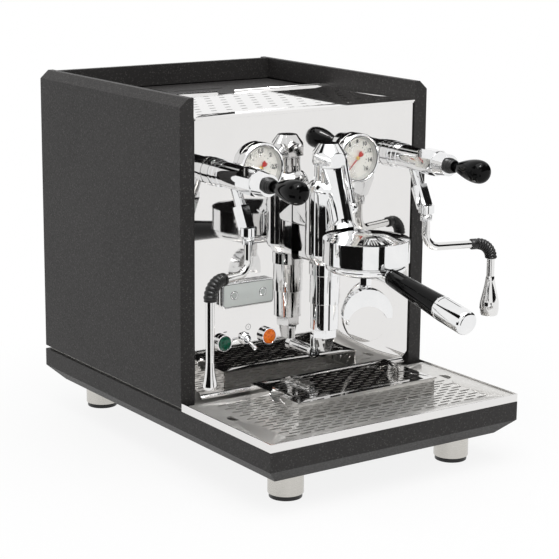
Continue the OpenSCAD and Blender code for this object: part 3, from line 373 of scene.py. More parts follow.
def polishedSheet(name, tint, rough):
    f = Finish(name, Metallic=1.0)
    f.link(f.colours(f.cloud(14.0), tuple(0.97 * c for c in tint), tint), "Base Color")
    f.link(f.haze(16.0, 0.07, rough), "Roughness")
    f.bump(f.cloud(11.0), 0.05, 0.4)
    return f.material


def chromePlate():
    f = Finish("chromePlate", Metallic=1.0)
    f.link(f.colours(f.cloud(60.0), (0.80, 0.805, 0.81), (0.86, 0.86, 0.86)), "Base Color")
    f.link(f.haze(60.0, 0.10, 0.03), "Roughness")
    f.bump(f.cloud(110.0), 0.06, 0.15)
    return f.material


def brushedSheet(name, stretch, tint, low, high, strength=0.25, metal=1.0, **settings):
    f = Finish(name, Metallic=metal, **settings)
    lines = f.group("brushedLines", Stretch=stretch, Low=low, High=high)
    f.link(f.colours(lines.outputs["Height"], tuple(0.82 * c for c in tint), tint), "Base Color")
    f.link(f.haze(30.0, 0.08, lines.outputs["Value"]), "Roughness")
    f.bump(lines.outputs["Height"], strength, 0.04)
    return f.material


def mouldedRubber():
    f = Finish("mouldedRubber", Specular_IOR_Level=0.45)
    f.link(f.colours(f.cloud(120.0), (0.005, 0.005, 0.005), (0.010, 0.0098, 0.0095)), "Base Color")
    f.link(f.cloud(300.0, 0.28, 0.42), "Roughness")
    f.bump(f.grain(1500.0), 0.25, 0.05)
    return f.material


def glossPhenolic():
    f = Finish("glossPhenolic", Coat_Weight=0.1, Coat_Roughness=0.02, Specular_IOR_Level=0.07)
    f.link(f.colours(f.cloud(45.0), (0.002, 0.002, 0.0021), (0.004, 0.0039, 0.004)), "Base Color")
    f.link(f.haze(45.0, 0.10, 0.025), "Roughness")
    f.bump(f.cloud(160.0), 0.05, 0.06)
    return f.material


def plainMoulding(name, dark, light, rough, grains=700.0, **settings):
    f = Finish(name, **settings)
    f.link(f.colours(f.cloud(35.0), dark, light), "Base Color")
    f.link(f.cloud(160.0, rough - 0.08, rough + 0.08), "Roughness")
    f.bump(f.grain(grains), 0.12, 0.05)
    return f.material


def tarnishedMetal(name, dark, light, rough=0.3, scale=50.0):
    f = Finish(name, Metallic=1.0)
    lines = f.group("brushedLines", Stretch=(300.0, 300.0, 40.0), Low=rough - 0.08, High=rough + 0.1)
    f.link(f.colours(f.cloud(scale), dark, light), "Base Color")
    f.link(lines.outputs["Value"], "Roughness")
    f.bump(lines.outputs["Height"], 0.15, 0.05)
    return f.material


def clearGlass():
    f = Finish("clearGlass", Transmission_Weight=1.0, IOR=1.45, Base_Color=(0.98, 0.99, 0.99, 1), Alpha=0.13)
    f.link(f.group("wipedHaze", Scale=70.0, Amount=0.01).outputs[0], "Roughness")
    return f.material


def colouredLens(name, deep, bright):
    f = Finish(name, Coat_Weight=0.35, Coat_Roughness=0.03, Specular_IOR_Level=0.3, Subsurface_Weight=0.1,
               Subsurface_Scale=0.002)
    cells = addNode(f.tree, "ShaderNodeTexVoronoi", in_Scale=420.0)
    where = addNode(f.tree, "ShaderNodeTexCoord")
    f.tree.links.new(where.outputs["Object"], cells.inputs["Vector"])
    # the lens keeps its deep tint in the middle of each facet, and a painted glint lightens it towards the
    # facet's edges
    facetGlint = remap(f.tree, cells.outputs["Distance"], 0.05, 0.6, 0.0, 1.0)
    f.link(f.colours(facetGlint, deep, bright), "Base Color")
    f.link(f.cloud(200.0, 0.12, 0.24), "Roughness")
    f.bump(cells.outputs["Distance"], 0.35, 0.5)
    return f.material


def printedDial():
    f = Finish("printedDial", Specular_IOR_Level=0.4)
    f.link(f.colours(f.cloud(90.0), (0.88, 0.865, 0.80), (0.92, 0.905, 0.85)), "Base Color")
    f.link(f.cloud(400.0, 0.38, 0.5), "Roughness")
    f.bump(f.grain(2200.0), 0.08, 0.02)
    return f.material


def ink(name, colour):
    f = Finish(name)
    f.link(f.colours(f.cloud(600.0), tuple(0.8 * c for c in colour), colour), "Base Color")
    f.link(f.cloud(900.0, 0.4, 0.6), "Roughness")
    return f.material


finishes = {
    "powder_coat": powderCoat(),
    "mirror_steel": polishedSheet("mirrorSheet", (0.80, 0.79, 0.78), 0.025),
    "satin_steel": brushedSheet("gridSteel", (30.0, 1400.0, 1400.0), (0.74, 0.725, 0.70), 0.30, 0.42,
                                0.08, 0.72, Coat_Weight=0.4, Coat_Roughness=0.05),
    "chrome_brass": chromePlate(),
    "tube_steel": polishedSheet("tubeSteel", (0.80, 0.795, 0.785), 0.07),
    "black_rubber": mouldedRubber(),
    "black_gloss": glossPhenolic(),
    "tank_plastic": plainMoulding("tankPlastic", (0.60, 0.66, 0.68), (0.70, 0.75, 0.77), 0.35,
                                  Subsurface_Weight=0.2, Subsurface_Scale=0.004),
    "raw_brass": tarnishedMetal("rawBrass", (0.50, 0.33, 0.12), (0.70, 0.50, 0.22)),
    "dial_cream": printedDial(),
    "needle_red": ink("needleRed", (0.55, 0.03, 0.02)),
    "clear_glass": clearGlass(),
    "display_grey": plainMoulding("displayFace", (0.56, 0.59, 0.57), (0.60, 0.63, 0.61), 0.34, 1200.0),
    "button_grey": plainMoulding("buttonFace", (0.40, 0.425, 0.41), (0.46, 0.485, 0.47), 0.32, 1600.0),
    # each lens: its deep tint, then the lighter colour of its painted facet glints
    "lens_colour": colouredLens("lensGreen", (0.0005, 0.018, 0.010), (0.001, 0.085, 0.045)),
    "boiler_steel": brushedSheet("boilerSteel", (40.0, 500.0, 500.0), (0.60, 0.59, 0.57), 0.28, 0.46),
    "motor_grey": plainMoulding("motorPaint", (0.09, 0.10, 0.105), (0.13, 0.14, 0.145), 0.5, 400.0,
                                Metallic=0.4),
    "box_plastic": plainMoulding("boxPlastic", (0.022, 0.022, 0.024), (0.034, 0.034, 0.036), 0.5, 900.0),
    "copper_pipe": tarnishedMetal("copperPipe", (0.42, 0.17, 0.08), (0.62, 0.30, 0.16), 0.28),
}
# the amber lens: its deep tint, then the lighter colour of its painted facet glints
lensAmber = colouredLens("lensAmber", (0.52, 0.05, 0.001), (0.90, 0.20, 0.008))
footSteel = brushedSheet("footSteel", (25.0, 25.0, 1600.0), (0.66, 0.64, 0.60), 0.2, 0.36, 0.3)
standSteel = polishedSheet("standSteel", (0.76, 0.75, 0.735), 0.07)
blackInk = ink("blackInk", (0.02, 0.02, 0.022))
greyInk = ink("greyInk", (0.20, 0.20, 0.20))
# the gauges' reflector wall, painted grey for the shade inside the bezel's recess
wellShadeGrey = plainMoulding("wellShadeGrey", (0.50, 0.495, 0.475), (0.58, 0.575, 0.555), 0.36, 1400.0)
hubBrass = tarnishedMetal("hubBrass", (0.62, 0.42, 0.12), (0.80, 0.58, 0.22), 0.25, 300.0)
print("finishes:", len(bpy.data.materials))

# every solid gets its finish, and the ones that stay visible a smooth copy with rounded edges
for name, solid in nodes.items():
    solid.data.materials.clear()
    solid.data.materials.append(finishes[slotOfNode[name]])

edgeWidths = {
    "base_pan": 1.0, "left_panel": 0.7, "right_panel": 0.7, "rear_panel": 0.7, "front_plate": 0.25,
    "tank_lid": 0.4, "water_tank": 0.8, "tank_valve": 0.4, "drip_tray": 0.35, "group_cap": 0.8,
    "infusion_chamber": 0.5, "drain_outlet": 0.4, "cam_gland": 0.5, "shower_screen": 0.0,
    "group_seal": 0.4, "filter_basket": 0.0, "steam_valve": 0.45, "water_valve": 0.45, "steam_ball": 0.0,
    "water_ball": 0.0, "cover_disc": 0.3, "steam_boiler": 0.8, "brew_boiler": 0.8, "pump_head": 0.6,
    "pump_motor": 0.0, "pump_coupling": 0.5, "control_box": 0.8, "water_pipes": 0.0, "mains_inlet": 0.4,
    "screws": 0.3, "chassis_frame": 0.0, "cup_tray": 0.0, "drip_grid": 0.0, "cup_stand": 0.0,
    "gauge_glasses": 0.0, "group_body": 0.6, "portafilter": 0.6, "double_spout": 1.2, "group_lever": 0.4,
    "control_bezels": 0.4, "foot_sleeves": 0.5, "foot_pads": 0.6, "gauge_dials": 0.0,
}
ownFinish = {"foot_sleeves": footSteel, "cup_stand": standSteel}
for name, width in edgeWidths.items():
    dressNode(name, ownFinish.get(name, finishes[slotOfNode[name]]), width)
print("dressed solids:", len(edgeWidths))


def frontPiece(name, bm, spot, body, slot, sharp, replaced=(), material=None):
    # a piece made about +Z, set on the front at a spot
    return finishPiece(name, place(bm, spot, front), body, material or finishes[slot], sharp, 0.0,
                       replaced)


# gauges: bezel, gasket, reflector, printed dial and needle, all made about +Z

gauge = {"x": 66.0, "z": 331.0, "bezelRadius": 28.5, "numberRadius": 18.6, "dotRadius": 13.6,
         "numberSize": 6.3, "numberWeight": 0.28, "numberHeight": 2.06, "dotHeight": 2.02, "bigDot": 0.62,
         "smallDot": 0.45, "zeroAngle": 225.0, "sweep": 270.0, "bladeHeight": 3.7, "bladeThickness": 0.6,
         "bladeRest": 135.0, "left": ["0", "0,5", "1", "1,5", "2", "2,5", "3"],
         "right": [str(n) for n in range(0, 17, 2)]}


def letterMesh(text, size, depth, weight):
    curve = bpy.data.curves.new("lettering", "FONT")
    curve.body = text
    curve.size = size * mm
    curve.extrude = depth * mm
    curve.offset = weight * mm
    curve.align_x = "CENTER"
    curve.align_y = "CENTER"
    curve.resolution_u = 3
    holder = bpy.data.objects.new("lettering", curve)
    bpy.context.scene.collection.objects.link(holder)
    bpy.context.view_layer.update()
    mesh = bpy.data.meshes.new_from_object(holder)
    bm = bmesh.new()
    bm.from_mesh(mesh)
    bpy.data.objects.remove(holder)
    bpy.data.curves.remove(curve)
    bpy.data.meshes.remove(mesh)
    bmesh.ops.remove_doubles(bm, verts=bm.verts, dist=1e-7)
    bmesh.ops.recalc_face_normals(bm, faces=bm.faces)
    return bm


def disc(radius, height, sides):
    bm = bmesh.new()
    bmesh.ops.create_cone(bm, cap_ends=True, segments=sides, radius1=radius * mm, radius2=radius * mm,
                          depth=height * mm)
    bmesh.ops.translate(bm, vec=(0, 0, height * 0.5 * mm), verts=bm.verts)
    return bm


def onDial(bm, share, radius, height):
    # moves a mark to its share of the dial's sweep
    angle = math.radians(gauge["zeroAngle"] - gauge["sweep"] * share)
    spot = (math.cos(angle) * radius * mm, math.sin(angle) * radius * mm, height * mm)
    bmesh.ops.translate(bm, vec=spot, verts=bm.verts)
    return bm


def dialMarks(labels):
    steps = len(labels) - 1
    marks = []
    for i, label in enumerate(labels):
        letters = letterMesh(label, gauge["numberSize"], 0.03, gauge["numberWeight"])
        marks.append(onDial(letters, i / steps, gauge["numberRadius"], gauge["numberHeight"]))
    for i in range(2 * steps + 1):
        dot = disc(gauge["bigDot"] if i % 2 == 0 else gauge["smallDot"], 0.05, 12)
        marks.append(onDial(dot, i / (2 * steps), gauge["dotRadius"], gauge["dotHeight"]))
    return marks


def needleBlade():
    # a thin tip and a broad tail
    blade = bmesh.new()
    half = [(-0.28, 19), (-0.9, 2), (-1.3, -2.6), (-2.9, -5.2), (-3.1, -7.2), (-2.3, -8.8)]
    outline = half + [(0, -8.1)] + [(-x, y) for x, y in reversed(half)]
    ring = [blade.verts.new((x * mm, y * mm, gauge["bladeHeight"] * mm)) for x, y in outline]
    face = blade.faces.new(ring)
    lifted = bmesh.ops.extrude_face_region(blade, geom=[face])["geom"]
    bmesh.ops.translate(blade, vec=(0, 0, gauge["bladeThickness"] * mm),
                        verts=[v for v in lifted if isinstance(v, bmesh.types.BMVert)])
    bmesh.ops.recalc_face_normals(blade, faces=blade.faces)
    return blade


def buildGauge(side):
    name, pointer = ("left", "boiler") if side < 0 else ("right", "pump")
    centre = (side * gauge["x"], 0, gauge["z"])
    r = gauge["bezelRadius"]
    bezel = turned([(0, -26.4), (0, -28), (r - 2.5, -28), (r - 2.5, -2), (r - 0.4, -2), (r, -1.5), (r, 5.6),
                    (r - 0.25, 6.6), (r - 0.9, 7.5), (r - 1.7, 8.0), (r - 2.4, 7.9), (r - 2.9, 7.5),
                    (r - 3, 7.4), (r - 3, 6.6), (r - 3.5, 6.6), (r - 3.5, -26.4), (0, -26.4)], 128)
    bezelPiece = frontPiece(name + "GaugeBezel", bezel, centre, "casing", "chrome_brass", 28)
    gasket = turned([(r - 3.05, 7.4), (r - 3.6, 7.42), (r - 3.65, 6.65), (r - 3.05, 6.65)], 128, True)
    frontPiece(name + "GaugeGasket", gasket, centre, "casing", "black_rubber", 30)
    # the reflector wall between bezel and dial, in a grey that paints the shade of the recess
    well = turned([(r - 3.55, 6.4), (r - 3.55, 2.02), (22.6, 2.02), (22.9, 2.6), (24.5, 6.4)], 128, True)
    frontPiece(name + "GaugeWell", well, centre, "casing", "dial_cream", 30, (), wellShadeGrey)
    marks = [place(part, centre, front) for part in dialMarks(gauge[name])]
    joined(name + "DialPrint", marks, "casing", blackInk, 30)
    blade = place(needleBlade(), centre, front, gauge["bladeRest"])
    finishPiece(name + "NeedleBlade", blade, pointer + "_pointer", finishes["needle_red"], 30,
                0.0, (pointer + "_needle",))
    hub = turned([(0, -2.8), (1.0, -2.8), (1.0, 3.4), (2.3, 3.6), (2.3, 4.7), (1.9, 5.2), (0.8, 5.4),
                  (0, 5.4)], 32)
    frontPiece(name + "NeedleHub", hub, centre, pointer + "_pointer", "raw_brass", 30, (), hubBrass)
    return bezelPiece


for piece in [buildGauge(side) for side in (-1, 1)]:
    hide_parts("gauge_cases")
print("gauges built")


# tilt valve knobs on their ribbed boots

knob = {"x": 121.0, "z": 331.0,
        "stick": [(0, 86.5), (3.0, 87.3), (5.3, 90.2), (5.6, 92.2), (5.2, 94.4), (3.4, 96.6), (3.2, 97.4),
                  (3.2, 104.6), (4.4, 105.2)],
        "pear": [(4.4, 106.0), (4.7, 110.0), (5.8, 114.0), (7.8, 120.0), (10.0, 127.5), (11.8, 135.0),
                 (12.85, 142.0), (13.0, 148.0), (12.1, 153.2), (9.6, 157.2), (5.6, 159.4), (0.0, 160.0)],
        "boot": [(5.9, 99.0), (8.5, 99.0), (8.7, 99.6), (8.7, 101.0), (8.3, 101.7), (7.3, 102.2),
                 (7.2, 102.7), (7.9, 103.4), (8.0, 104.2), (7.6, 104.9), (6.8, 105.3), (6.75, 105.7),
                 (7.3, 106.3), (7.3, 107.1), (6.8, 107.8), (5.9, 108.0)]}


def smoothProfile(points, count):
    return [(max(p.x, 0.0), p.y) for p in curveThrough([(r, z, 0) for r, z in points], count)]


def buildKnob(side):
    centre = (side * knob["x"], 0, knob["z"])
    name = "steam" if side < 0 else "water"
    profile = knob["stick"] + smoothProfile(knob["pear"], 40)
    frontPiece(name + "Knob", turned(profile, 72), centre, name + "_stick", "black_gloss", 40,
               (name + "_knob",))
    return frontPiece(name + "Boot", turned(knob["boot"], 64, True), centre, "casing", "black_rubber", 35)


for piece in [buildKnob(side) for side in (-1, 1)]:
    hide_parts("valve_boots")
print("knobs built")


# wands: tube, tip and ribbed sleeve, made about the swivel joint

wand = {"joint": (121.0, -61.0, 272.0), "tube": 4.6, "firstBend": 16.0, "coveredBend": 18.0,
        "windowRadius": 3.4, "windowDrop": 34.5, "windowAngles": (-20, 70, 160, 250), "ribSteps": 12,
        "ribSharpness": 0.4,
        "steam": {"turn": 195.0, "drop": 25.0, "reach": 41.5, "low": 127.0, "ribs": 7, "core": (6.0, 6.2),
                  "rise": (1.2, 1.0),
                  "upperCollar": [(-4.0, 5.0), (-3.95, 6.3), (-3.5, 6.9), (-2.4, 7.1), (-1.1, 7.1),
                                  (-0.6, 6.9), (-0.45, 6.1)],
                  "lowerCollar": [(-0.4, 6.2), (-0.5, 6.6), (-1.5, 6.75), (-1.9, 6.6), (-2.0, 6.0),
                                  (-2.02, 4.7)]},
        "water": {"turn": -15.0, "drop": 24.0, "reach": 65.0, "low": 80.0, "ribs": 9, "core": (5.7, 6.0),
                  "rise": (0.9, 1.1),
                  "upperCollar": [(-8.5, 5.2), (-8.3, 5.9), (-7.8, 6.2), (-1.4, 6.25), (-0.7, 6.0)],
                  "lowerCollar": []}}


def arcPoints(cx, cz, radius, start, end, count):
    # an arc in the XZ plane
    angles = [math.radians(start + (end - start) * i / count) for i in range(count + 1)]
    return [(cx + radius * math.cos(a), 0, cz + radius * math.sin(a)) for a in angles]


def drilled(bm, holes):
    # cuts closed shapes out of a closed shape
    objects = []
    for i, shape in enumerate([bm] + holes):
        mesh = bpy.data.meshes.new("drilling")
        shape.to_mesh(mesh)
        shape.free()
        objects.append(bpy.data.objects.new("drilling%d" % i, mesh))
        bpy.context.scene.collection.objects.link(objects[-1])
    for cutter in objects[1:]:
        cut = objects[0].modifiers.new("cut", "BOOLEAN")
        cut.operation = "DIFFERENCE"
        cut.solver = "EXACT"
        cut.object = cutter
    bpy.context.view_layer.update()
    evaluated = objects[0].evaluated_get(bpy.context.evaluated_depsgraph_get())
    result = bpy.data.meshes.new_from_object(evaluated)
    out = bmesh.new()
    out.from_mesh(result)
    bpy.data.meshes.remove(result)
    for thing in objects:
        mesh = thing.data
        bpy.data.objects.remove(thing)
        bpy.data.meshes.remove(mesh)
    return out


def steamTip(low):
    # a flared tip with a rounded end
    return turned([(4.59, low + 1), (4.65, low), (4.9, low - 4), (5.4, low - 10), (6.2, low - 16),
                   (7.2, low - 21), (7.85, low - 24), (8.0, low - 25.2), (7.85, low - 26.2),
                   (7.2, low - 27.4), (5.6, low - 28.9), (4.2, low - 29.8), (3.6, low - 30),
                   (0, low - 30)], 48)


def waterBulb(low):
    # a long cone into a wide drum, open below and through four round windows
    bulb = turned([(4.59, low + 1), (5.2, low), (5.7, low - 4), (6.7, low - 10), (8.2, low - 17),
                   (9.8, low - 23.5), (10.9, low - 28.0), (11.2, low - 30.5), (11.2, low - 36.5),
                   (11.0, low - 39.0), (10.5, low - 42.5), (9.9, low - 44.6), (9.3, low - 45),
                   (6.8, low - 45), (6.5, low - 44.6), (6.5, low - 29.5), (5.2, low - 29.0),
                   (0, low - 29.0), (0, low + 1), (4.59, low + 1)], 64)
    holes = []
    for angle in wand["windowAngles"]:
        direction = (math.cos(math.radians(angle)), math.sin(math.radians(angle)), 0)
        hole = place(disc(wand["windowRadius"], 10, 24), tuple(4.0 * d for d in direction), direction)
        bmesh.ops.translate(hole, vec=(0, 0, (low - wand["windowDrop"]) * mm), verts=hole.verts)
        holes.append(hole)
    return drilled(bulb, holes)


def wandBend(w):
    # height of the outward run, and where the covered bend ends
    return -w["drop"] - wand["firstBend"], w["reach"] + wand["coveredBend"]


def sleeveLine(w):
    # middle points and radii of a ribbed sleeve
    bendZ, outX = wandBend(w)
    line = [(w["reach"] + x, 0, bendZ) for x, r in w["upperCollar"]]
    radii = [r for x, r in w["upperCollar"]]
    steps = wand["ribSteps"] * w["ribs"]
    bend = wand["coveredBend"]
    for i, point in enumerate(arcPoints(w["reach"], bendZ - bend, bend, 90, 0, steps)):
        along = i / steps
        ripple = 0.5 - 0.5 * math.cos(math.tau * i / wand["ribSteps"])
        core = w["core"][0] + (w["core"][1] - w["core"][0]) * along
        rise = w["rise"][0] + (w["rise"][1] - w["rise"][0]) * along
        line.append(point)
        radii.append(core + rise * ripple ** wand["ribSharpness"])
    line += [(outX, 0, bendZ - bend + z) for z, r in w["lowerCollar"]]
    radii += [r for z, r in w["lowerCollar"]]
    return line, radii


def buildWand(name):
    side = -1 if name == "steam" else 1
    w = wand[name]
    x, y, z = wand["joint"]
    atJoint = (Matrix.Translation(Vector((side * x, y, z)) * mm)
               @ Matrix.Rotation(math.radians(w["turn"]), 4, "Z"))
    bendZ, outX = wandBend(w)
    path = [(0, 0, -3.2), (0, 0, -w["drop"] + 0.2)]
    path += arcPoints(wand["firstBend"], -w["drop"], wand["firstBend"], 180, 270, 14)
    path += arcPoints(w["reach"], bendZ - wand["coveredBend"], wand["coveredBend"], 90, 0, 14)
    path += [(outX, 0, -w["low"] - 1)]
    tube = swept(path, [wand["tube"]] * len(path), 32)
    tip = steamTip(-w["low"]) if name == "steam" else waterBulb(-w["low"])
    bmesh.ops.translate(tip, vec=(outX * mm, 0, 0), verts=tip.verts)
    sleeve = swept(*sleeveLine(w), 40)
    for part in (tube, tip, sleeve):
        bmesh.ops.transform(part, matrix=atJoint, verts=part.verts)
    joined(name + "WandTube", [tube, tip], name + "_arm", finishes["tube_steel"], 35,
           (name + "_wand",))
    finishPiece(name + "Sleeve", sleeve, name + "_arm", finishes["black_rubber"], 50, 0.0,
                (name + "_grip",))


for name in ("steam", "water"):
    buildWand(name)
print("wands built")


# lamps and switch

lamp = {"x": -83.3, "z": 140.0, "spread": 29.7, "lensRadius": 8.3, "sides": 14, "roll": 10.0}
toggle = {"x": -83.3, "y": -2.0, "z": 141.0, "drop": 22.5}


def buildLens(side):
    # a low dome cut in facets
    r = lamp["lensRadius"]
    profile = [(0, 0.6), (r, 0.6), (r, 3.9), (r - 0.9, 4.7), (r - 2.6, 5.4), (r - 5.0, 5.8), (0, 5.95)]
    bm = turned(profile, lamp["sides"])
    place(bm, (lamp["x"] + side * lamp["spread"], 0, lamp["z"]), front, lamp["roll"])
    name, material = ("greenLens", finishes["lens_colour"]) if side < 0 else ("amberLens", lensAmber)
    return finishPiece(name, roundEdges(bm, 0.15, 12, 1), "casing", material, 12)


for piece in [buildLens(side) for side in (-1, 1)]:
    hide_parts("lamp_lenses")


def buildToggle():
    bat = turned([(0, -3.8), (2.2, -3.1), (3.5, -1.5), (3.8, 0), (3.4, 1.7), (2.3, 3.0), (1.7, 4.0),
                  (1.75, 8.0), (1.95, 13.5), (2.4, 16.4), (2.6, 18.0), (2.3, 19.5), (1.3, 20.4),
                  (0, 20.6)], 40)
    angle = math.radians(toggle["drop"])
    place(bat, (toggle["x"], toggle["y"], toggle["z"]), (0, -math.cos(angle), -math.sin(angle)))
    finishPiece("switchBat", bat, "toggle", finishes["chrome_brass"], 35, 0.0,
                ("switch_lever",))


buildToggle()
print("lamps and switch built")


# display box: a polished body with a satin face and two ringed buttons, and printed marks on the plate

display = {"x": -83.3, "z": 193.4, "width": 68.0, "height": 28.0, "front": 6.0, "corner": 4.0,
           "buttonX": 18.9, "ringRadius": 3.9}
mark = {"ringX": -78.4, "ringZ": 153.0, "ringRadius": 3.2, "dashX": -109.0, "dashZ": 151.2,
        "low": -2.02, "high": -1.97}


def roundedPlate(width, height, corner, low, high, steps=8):
    # a flat plate about +Z with round corners
    bm = bmesh.new()
    corners = [bm.verts.new((sx * width / 2 * mm, sy * height / 2 * mm, low * mm))
               for sx, sy in ((-1, -1), (1, -1), (1, 1), (-1, 1))]
    face = bm.faces.new(corners)
    lifted = bmesh.ops.extrude_face_region(bm, geom=[face])["geom"]
    bmesh.ops.translate(bm, vec=(0, 0, (high - low) * mm),
                        verts=[v for v in lifted if isinstance(v, bmesh.types.BMVert)])
    bmesh.ops.recalc_face_normals(bm, faces=bm.faces)
    upright = [e for e in bm.edges if abs(e.verts[0].co.z - e.verts[1].co.z) > 1e-6]
    bmesh.ops.bevel(bm, geom=upright, offset=corner * mm, offset_type="OFFSET", segments=steps, profile=0.5,
                    affect="EDGES", material=-1, clamp_overlap=True)
    return bm


def buildButton(side, name):
    spot = (display["x"] + side * display["buttonX"], 0, display["z"])
    top, r = display["front"], display["ringRadius"]
    ring = turned([(r - 0.55, top - 0.1), (r + 0.55, top - 0.1), (r + 0.5, top + 0.3),
                   (r + 0.15, top + 0.55), (r - 0.25, top + 0.5), (r - 0.5, top + 0.2)], 40, True)
    seat = turned([(r + 0.5, top - 0.1), (r + 0.95, top - 0.1), (r + 0.95, top + 0.06),
                   (r + 0.5, top + 0.1)], 40, True)
    cap = turned([(0, 1.5), (3.1, 1.5), (3.1, top + 0.3), (2.9, top + 0.62), (2.4, top + 0.75),
                  (1.5, top + 0.62), (0, top + 0.55)], 40)
    frontPiece(name + "ButtonSeat", seat, spot, "casing", "black_rubber", 40)
    frontPiece(name + "ButtonRing", ring, spot, "casing", "chrome_brass", 40)
    frontPiece(name + "ButtonCap", cap, spot, "key_" + name, "button_grey", 40, (name + "_button",))


def buildDisplay():
    centre = (display["x"], 0, display["z"])
    w, h, top, corner = display["width"], display["height"], display["front"], display["corner"]
    body = roundEdges(roundedPlate(w, h, corner, -1.9, top - 0.5), 0.7, 60, 3)
    frontPiece("displayBody", body, centre, "casing", "chrome_brass", 30, ("display_box",))
    gasket = roundedPlate(w - 2.4, h - 2.4, corner - 0.9, top - 0.7, top - 0.35)
    frontPiece("displayGasket", gasket, centre, "casing", "black_rubber", 30)
    face = roundEdges(roundedPlate(w - 3.6, h - 3.6, corner - 1.4, top - 0.7, top), 0.25, 60, 2)
    frontPiece("displayFace", face, centre, "casing", "display_grey", 30)
    for side, name in ((-1, "left"), (1, "right")):
        buildButton(side, name)


def buildMarks():
    # a ring with a bar, and a dash
    r, low, high = mark["ringRadius"], mark["low"], mark["high"]
    ring = turned([(r - 0.28, low), (r + 0.28, low), (r + 0.28, high), (r - 0.28, high)], 48, True)
    bar = roundedPlate(0.5, 2.6, 0.2, low, high, 3)
    dash = roundedPlate(4.6, 1.1, 0.5, low, high, 4)
    parts = [place(part, (mark["ringX"], 0, mark["ringZ"]), front) for part in (ring, bar)]
    parts.append(place(dash, (mark["dashX"], 0, mark["dashZ"]), front))
    joined("plateMarks", parts, "casing", greyInk, 30)


buildDisplay()
buildMarks()
print("display built")


# handle: grip and end cap along the droop of the arm

handle = {"start": (0.0, -152.0, 229.5), "droop": 11.0, "gripLength": 84.0, "capLength": 44.0,
          "gripEnd": 12.6}


def buildHandle():
    angle = math.radians(handle["droop"])
    way = (0, -math.cos(angle), -math.sin(angle))
    length, end = handle["gripLength"], handle["gripEnd"]
    grip = [(0, 0.2), (8.0, 0.2), (8.7, 0.7), (8.95, 1.8), (9.0, 3.4), (8.8, 4.2), (8.9, 4.8), (9.3, 5.6)]
    grip += smoothProfile([(9.3, 5.7), (9.75, 14.0), (10.4, 30.0), (11.2, 50.0), (11.95, 68.0),
                           (end - 0.1, 80.0), (end, 83.4)], 24)
    grip += [(end - 0.3, length - 0.1), (0, length - 0.1)]
    finishPiece("handleGripBody", place(turned(grip, 80), handle["start"], way), "handle",
                finishes["black_gloss"], 28, 0.0, ("handle_grip",))
    top = length + handle["capLength"]
    cap = [(0, length + 0.1), (end - 0.2, length + 0.1), (end + 0.2, length + 0.5),
           (end + 0.3, length + 1.4), (end + 0.3, length + 3.6), (end - 0.1, length + 4.0),
           (end - 0.1, length + 4.8), (end + 0.3, length + 5.2), (end + 0.3, top - 4.4),
           (end + 0.1, top - 3.0), (end - 0.5, top - 1.7), (end - 1.6, top - 0.6), (end - 3.2, top), (0, top)]
    finishPiece("handleEndCap", place(turned(cap, 80), handle["start"], way), "handle",
                finishes["chrome_brass"], 28, 0.0, ("handle_cap",))


buildHandle()
print("handle built")


# floor, light, cards and camera

studio = {"floor": 8.0, "topPower": 26.0, "sidePower": 3.0, "ambient": 0.55, "glow": 0.7,
          "shadowNear": 0.25, "shadowFar": 0.6, "shadowShare": 0.86,
          # each card: start and end angle, distance, lower and upper edge
          "cards": [(-186.0, -128.0, 0.6, 0.0, 0.22), (-95.0, -82.0, 0.6, 0.0, 0.2),
                    (-85.0, 15.0, 2.2, 0.3, 1.3), (-85.0, -30.0, 2.2, 1.3, 2.5),
                    (-114.0, -85.0, 2.2, 1.4, 2.5), (-168.0, -155.0, 2.2, 0.5, 0.66),
                    (140.0, 178.0, 2.2, 1.6, 3.4)],
          "glowCard": (-99.0, -88.0, 2.1, 1.78, 2.2),
          # the bright square: position, width and strength
          "spark": ((-0.1, -0.9, 1.86), 0.34, 60.0)}
view = {"lens": 114.68, "sensor": 36.0, "farthest": 50.0, "place": (-1.144569, -1.591275, 0.647841),
        "turn": (77.05521, -0.48138, -34.70435)}
white = (1, 1, 1, 1)


def seenRay(tree):
    # one for what the camera, a mirror or a glass sees directly
    path = tree.nodes.new("ShaderNodeLightPath")
    seen = mathNode(tree, "MAXIMUM", path.outputs["Is Camera Ray"], path.outputs["Is Glossy Ray"])
    return mathNode(tree, "MAXIMUM", seen, path.outputs["Is Transmission Ray"])


def stageObject(name, bm, material):
    mesh = bpy.data.meshes.new(name)
    bm.to_mesh(mesh)
    bm.free()
    mesh.materials.append(material)
    thing = bpy.data.objects.new(name, mesh)
    bpy.context.scene.collection.objects.link(thing)
    return thing


def squareSheet(size):
    bm = bmesh.new()
    bmesh.ops.create_grid(bm, x_segments=1, y_segments=1, size=size)
    return bm


def floorPaper():
    # white paper that keeps a soft shadow near the object
    paint = Finish("floorPaper", Roughness=0.7, Specular_IOR_Level=0.2)
    tree = paint.tree
    paint.link(paint.colours(paint.cloud(3.0), (0.93, 0.93, 0.93), (0.95, 0.95, 0.95)), "Base Color")
    glow = addNode(tree, "ShaderNodeEmission", in_Color=white)
    where = addNode(tree, "ShaderNodeTexCoord")
    reach = addNode(tree, "ShaderNodeVectorMath", operation="LENGTH")
    tree.links.new(where.outputs["Object"], reach.inputs[0])
    share = remap(tree, reach.outputs["Value"], studio["shadowNear"], studio["shadowFar"],
                  studio["shadowShare"], 1.0)
    both = mathNode(tree, "MULTIPLY", share, seenRay(tree))
    mix = tree.nodes.new("ShaderNodeMixShader")
    tree.links.new(both, mix.inputs[0])
    tree.links.new(paint.shader.outputs[0], mix.inputs[1])
    tree.links.new(glow.outputs[0], mix.inputs[2])
    tree.links.new(mix.outputs[0], tree.nodes["Material Output"].inputs["Surface"])
    return paint.material


def cardMaterial(name, **settings):
    card = Finish(name, **settings)
    card.link(card.colours(card.cloud(4.0), (0.006, 0.006, 0.006), (0.012, 0.011, 0.011)), "Base Color")
    return card.material


def addCard(name, bm, material):
    # only polished surfaces show a card
    card = stageObject(name, bm, material)
    card.visible_camera = False
    card.visible_diffuse = False
    card.visible_transmission = False
    card.visible_shadow = False


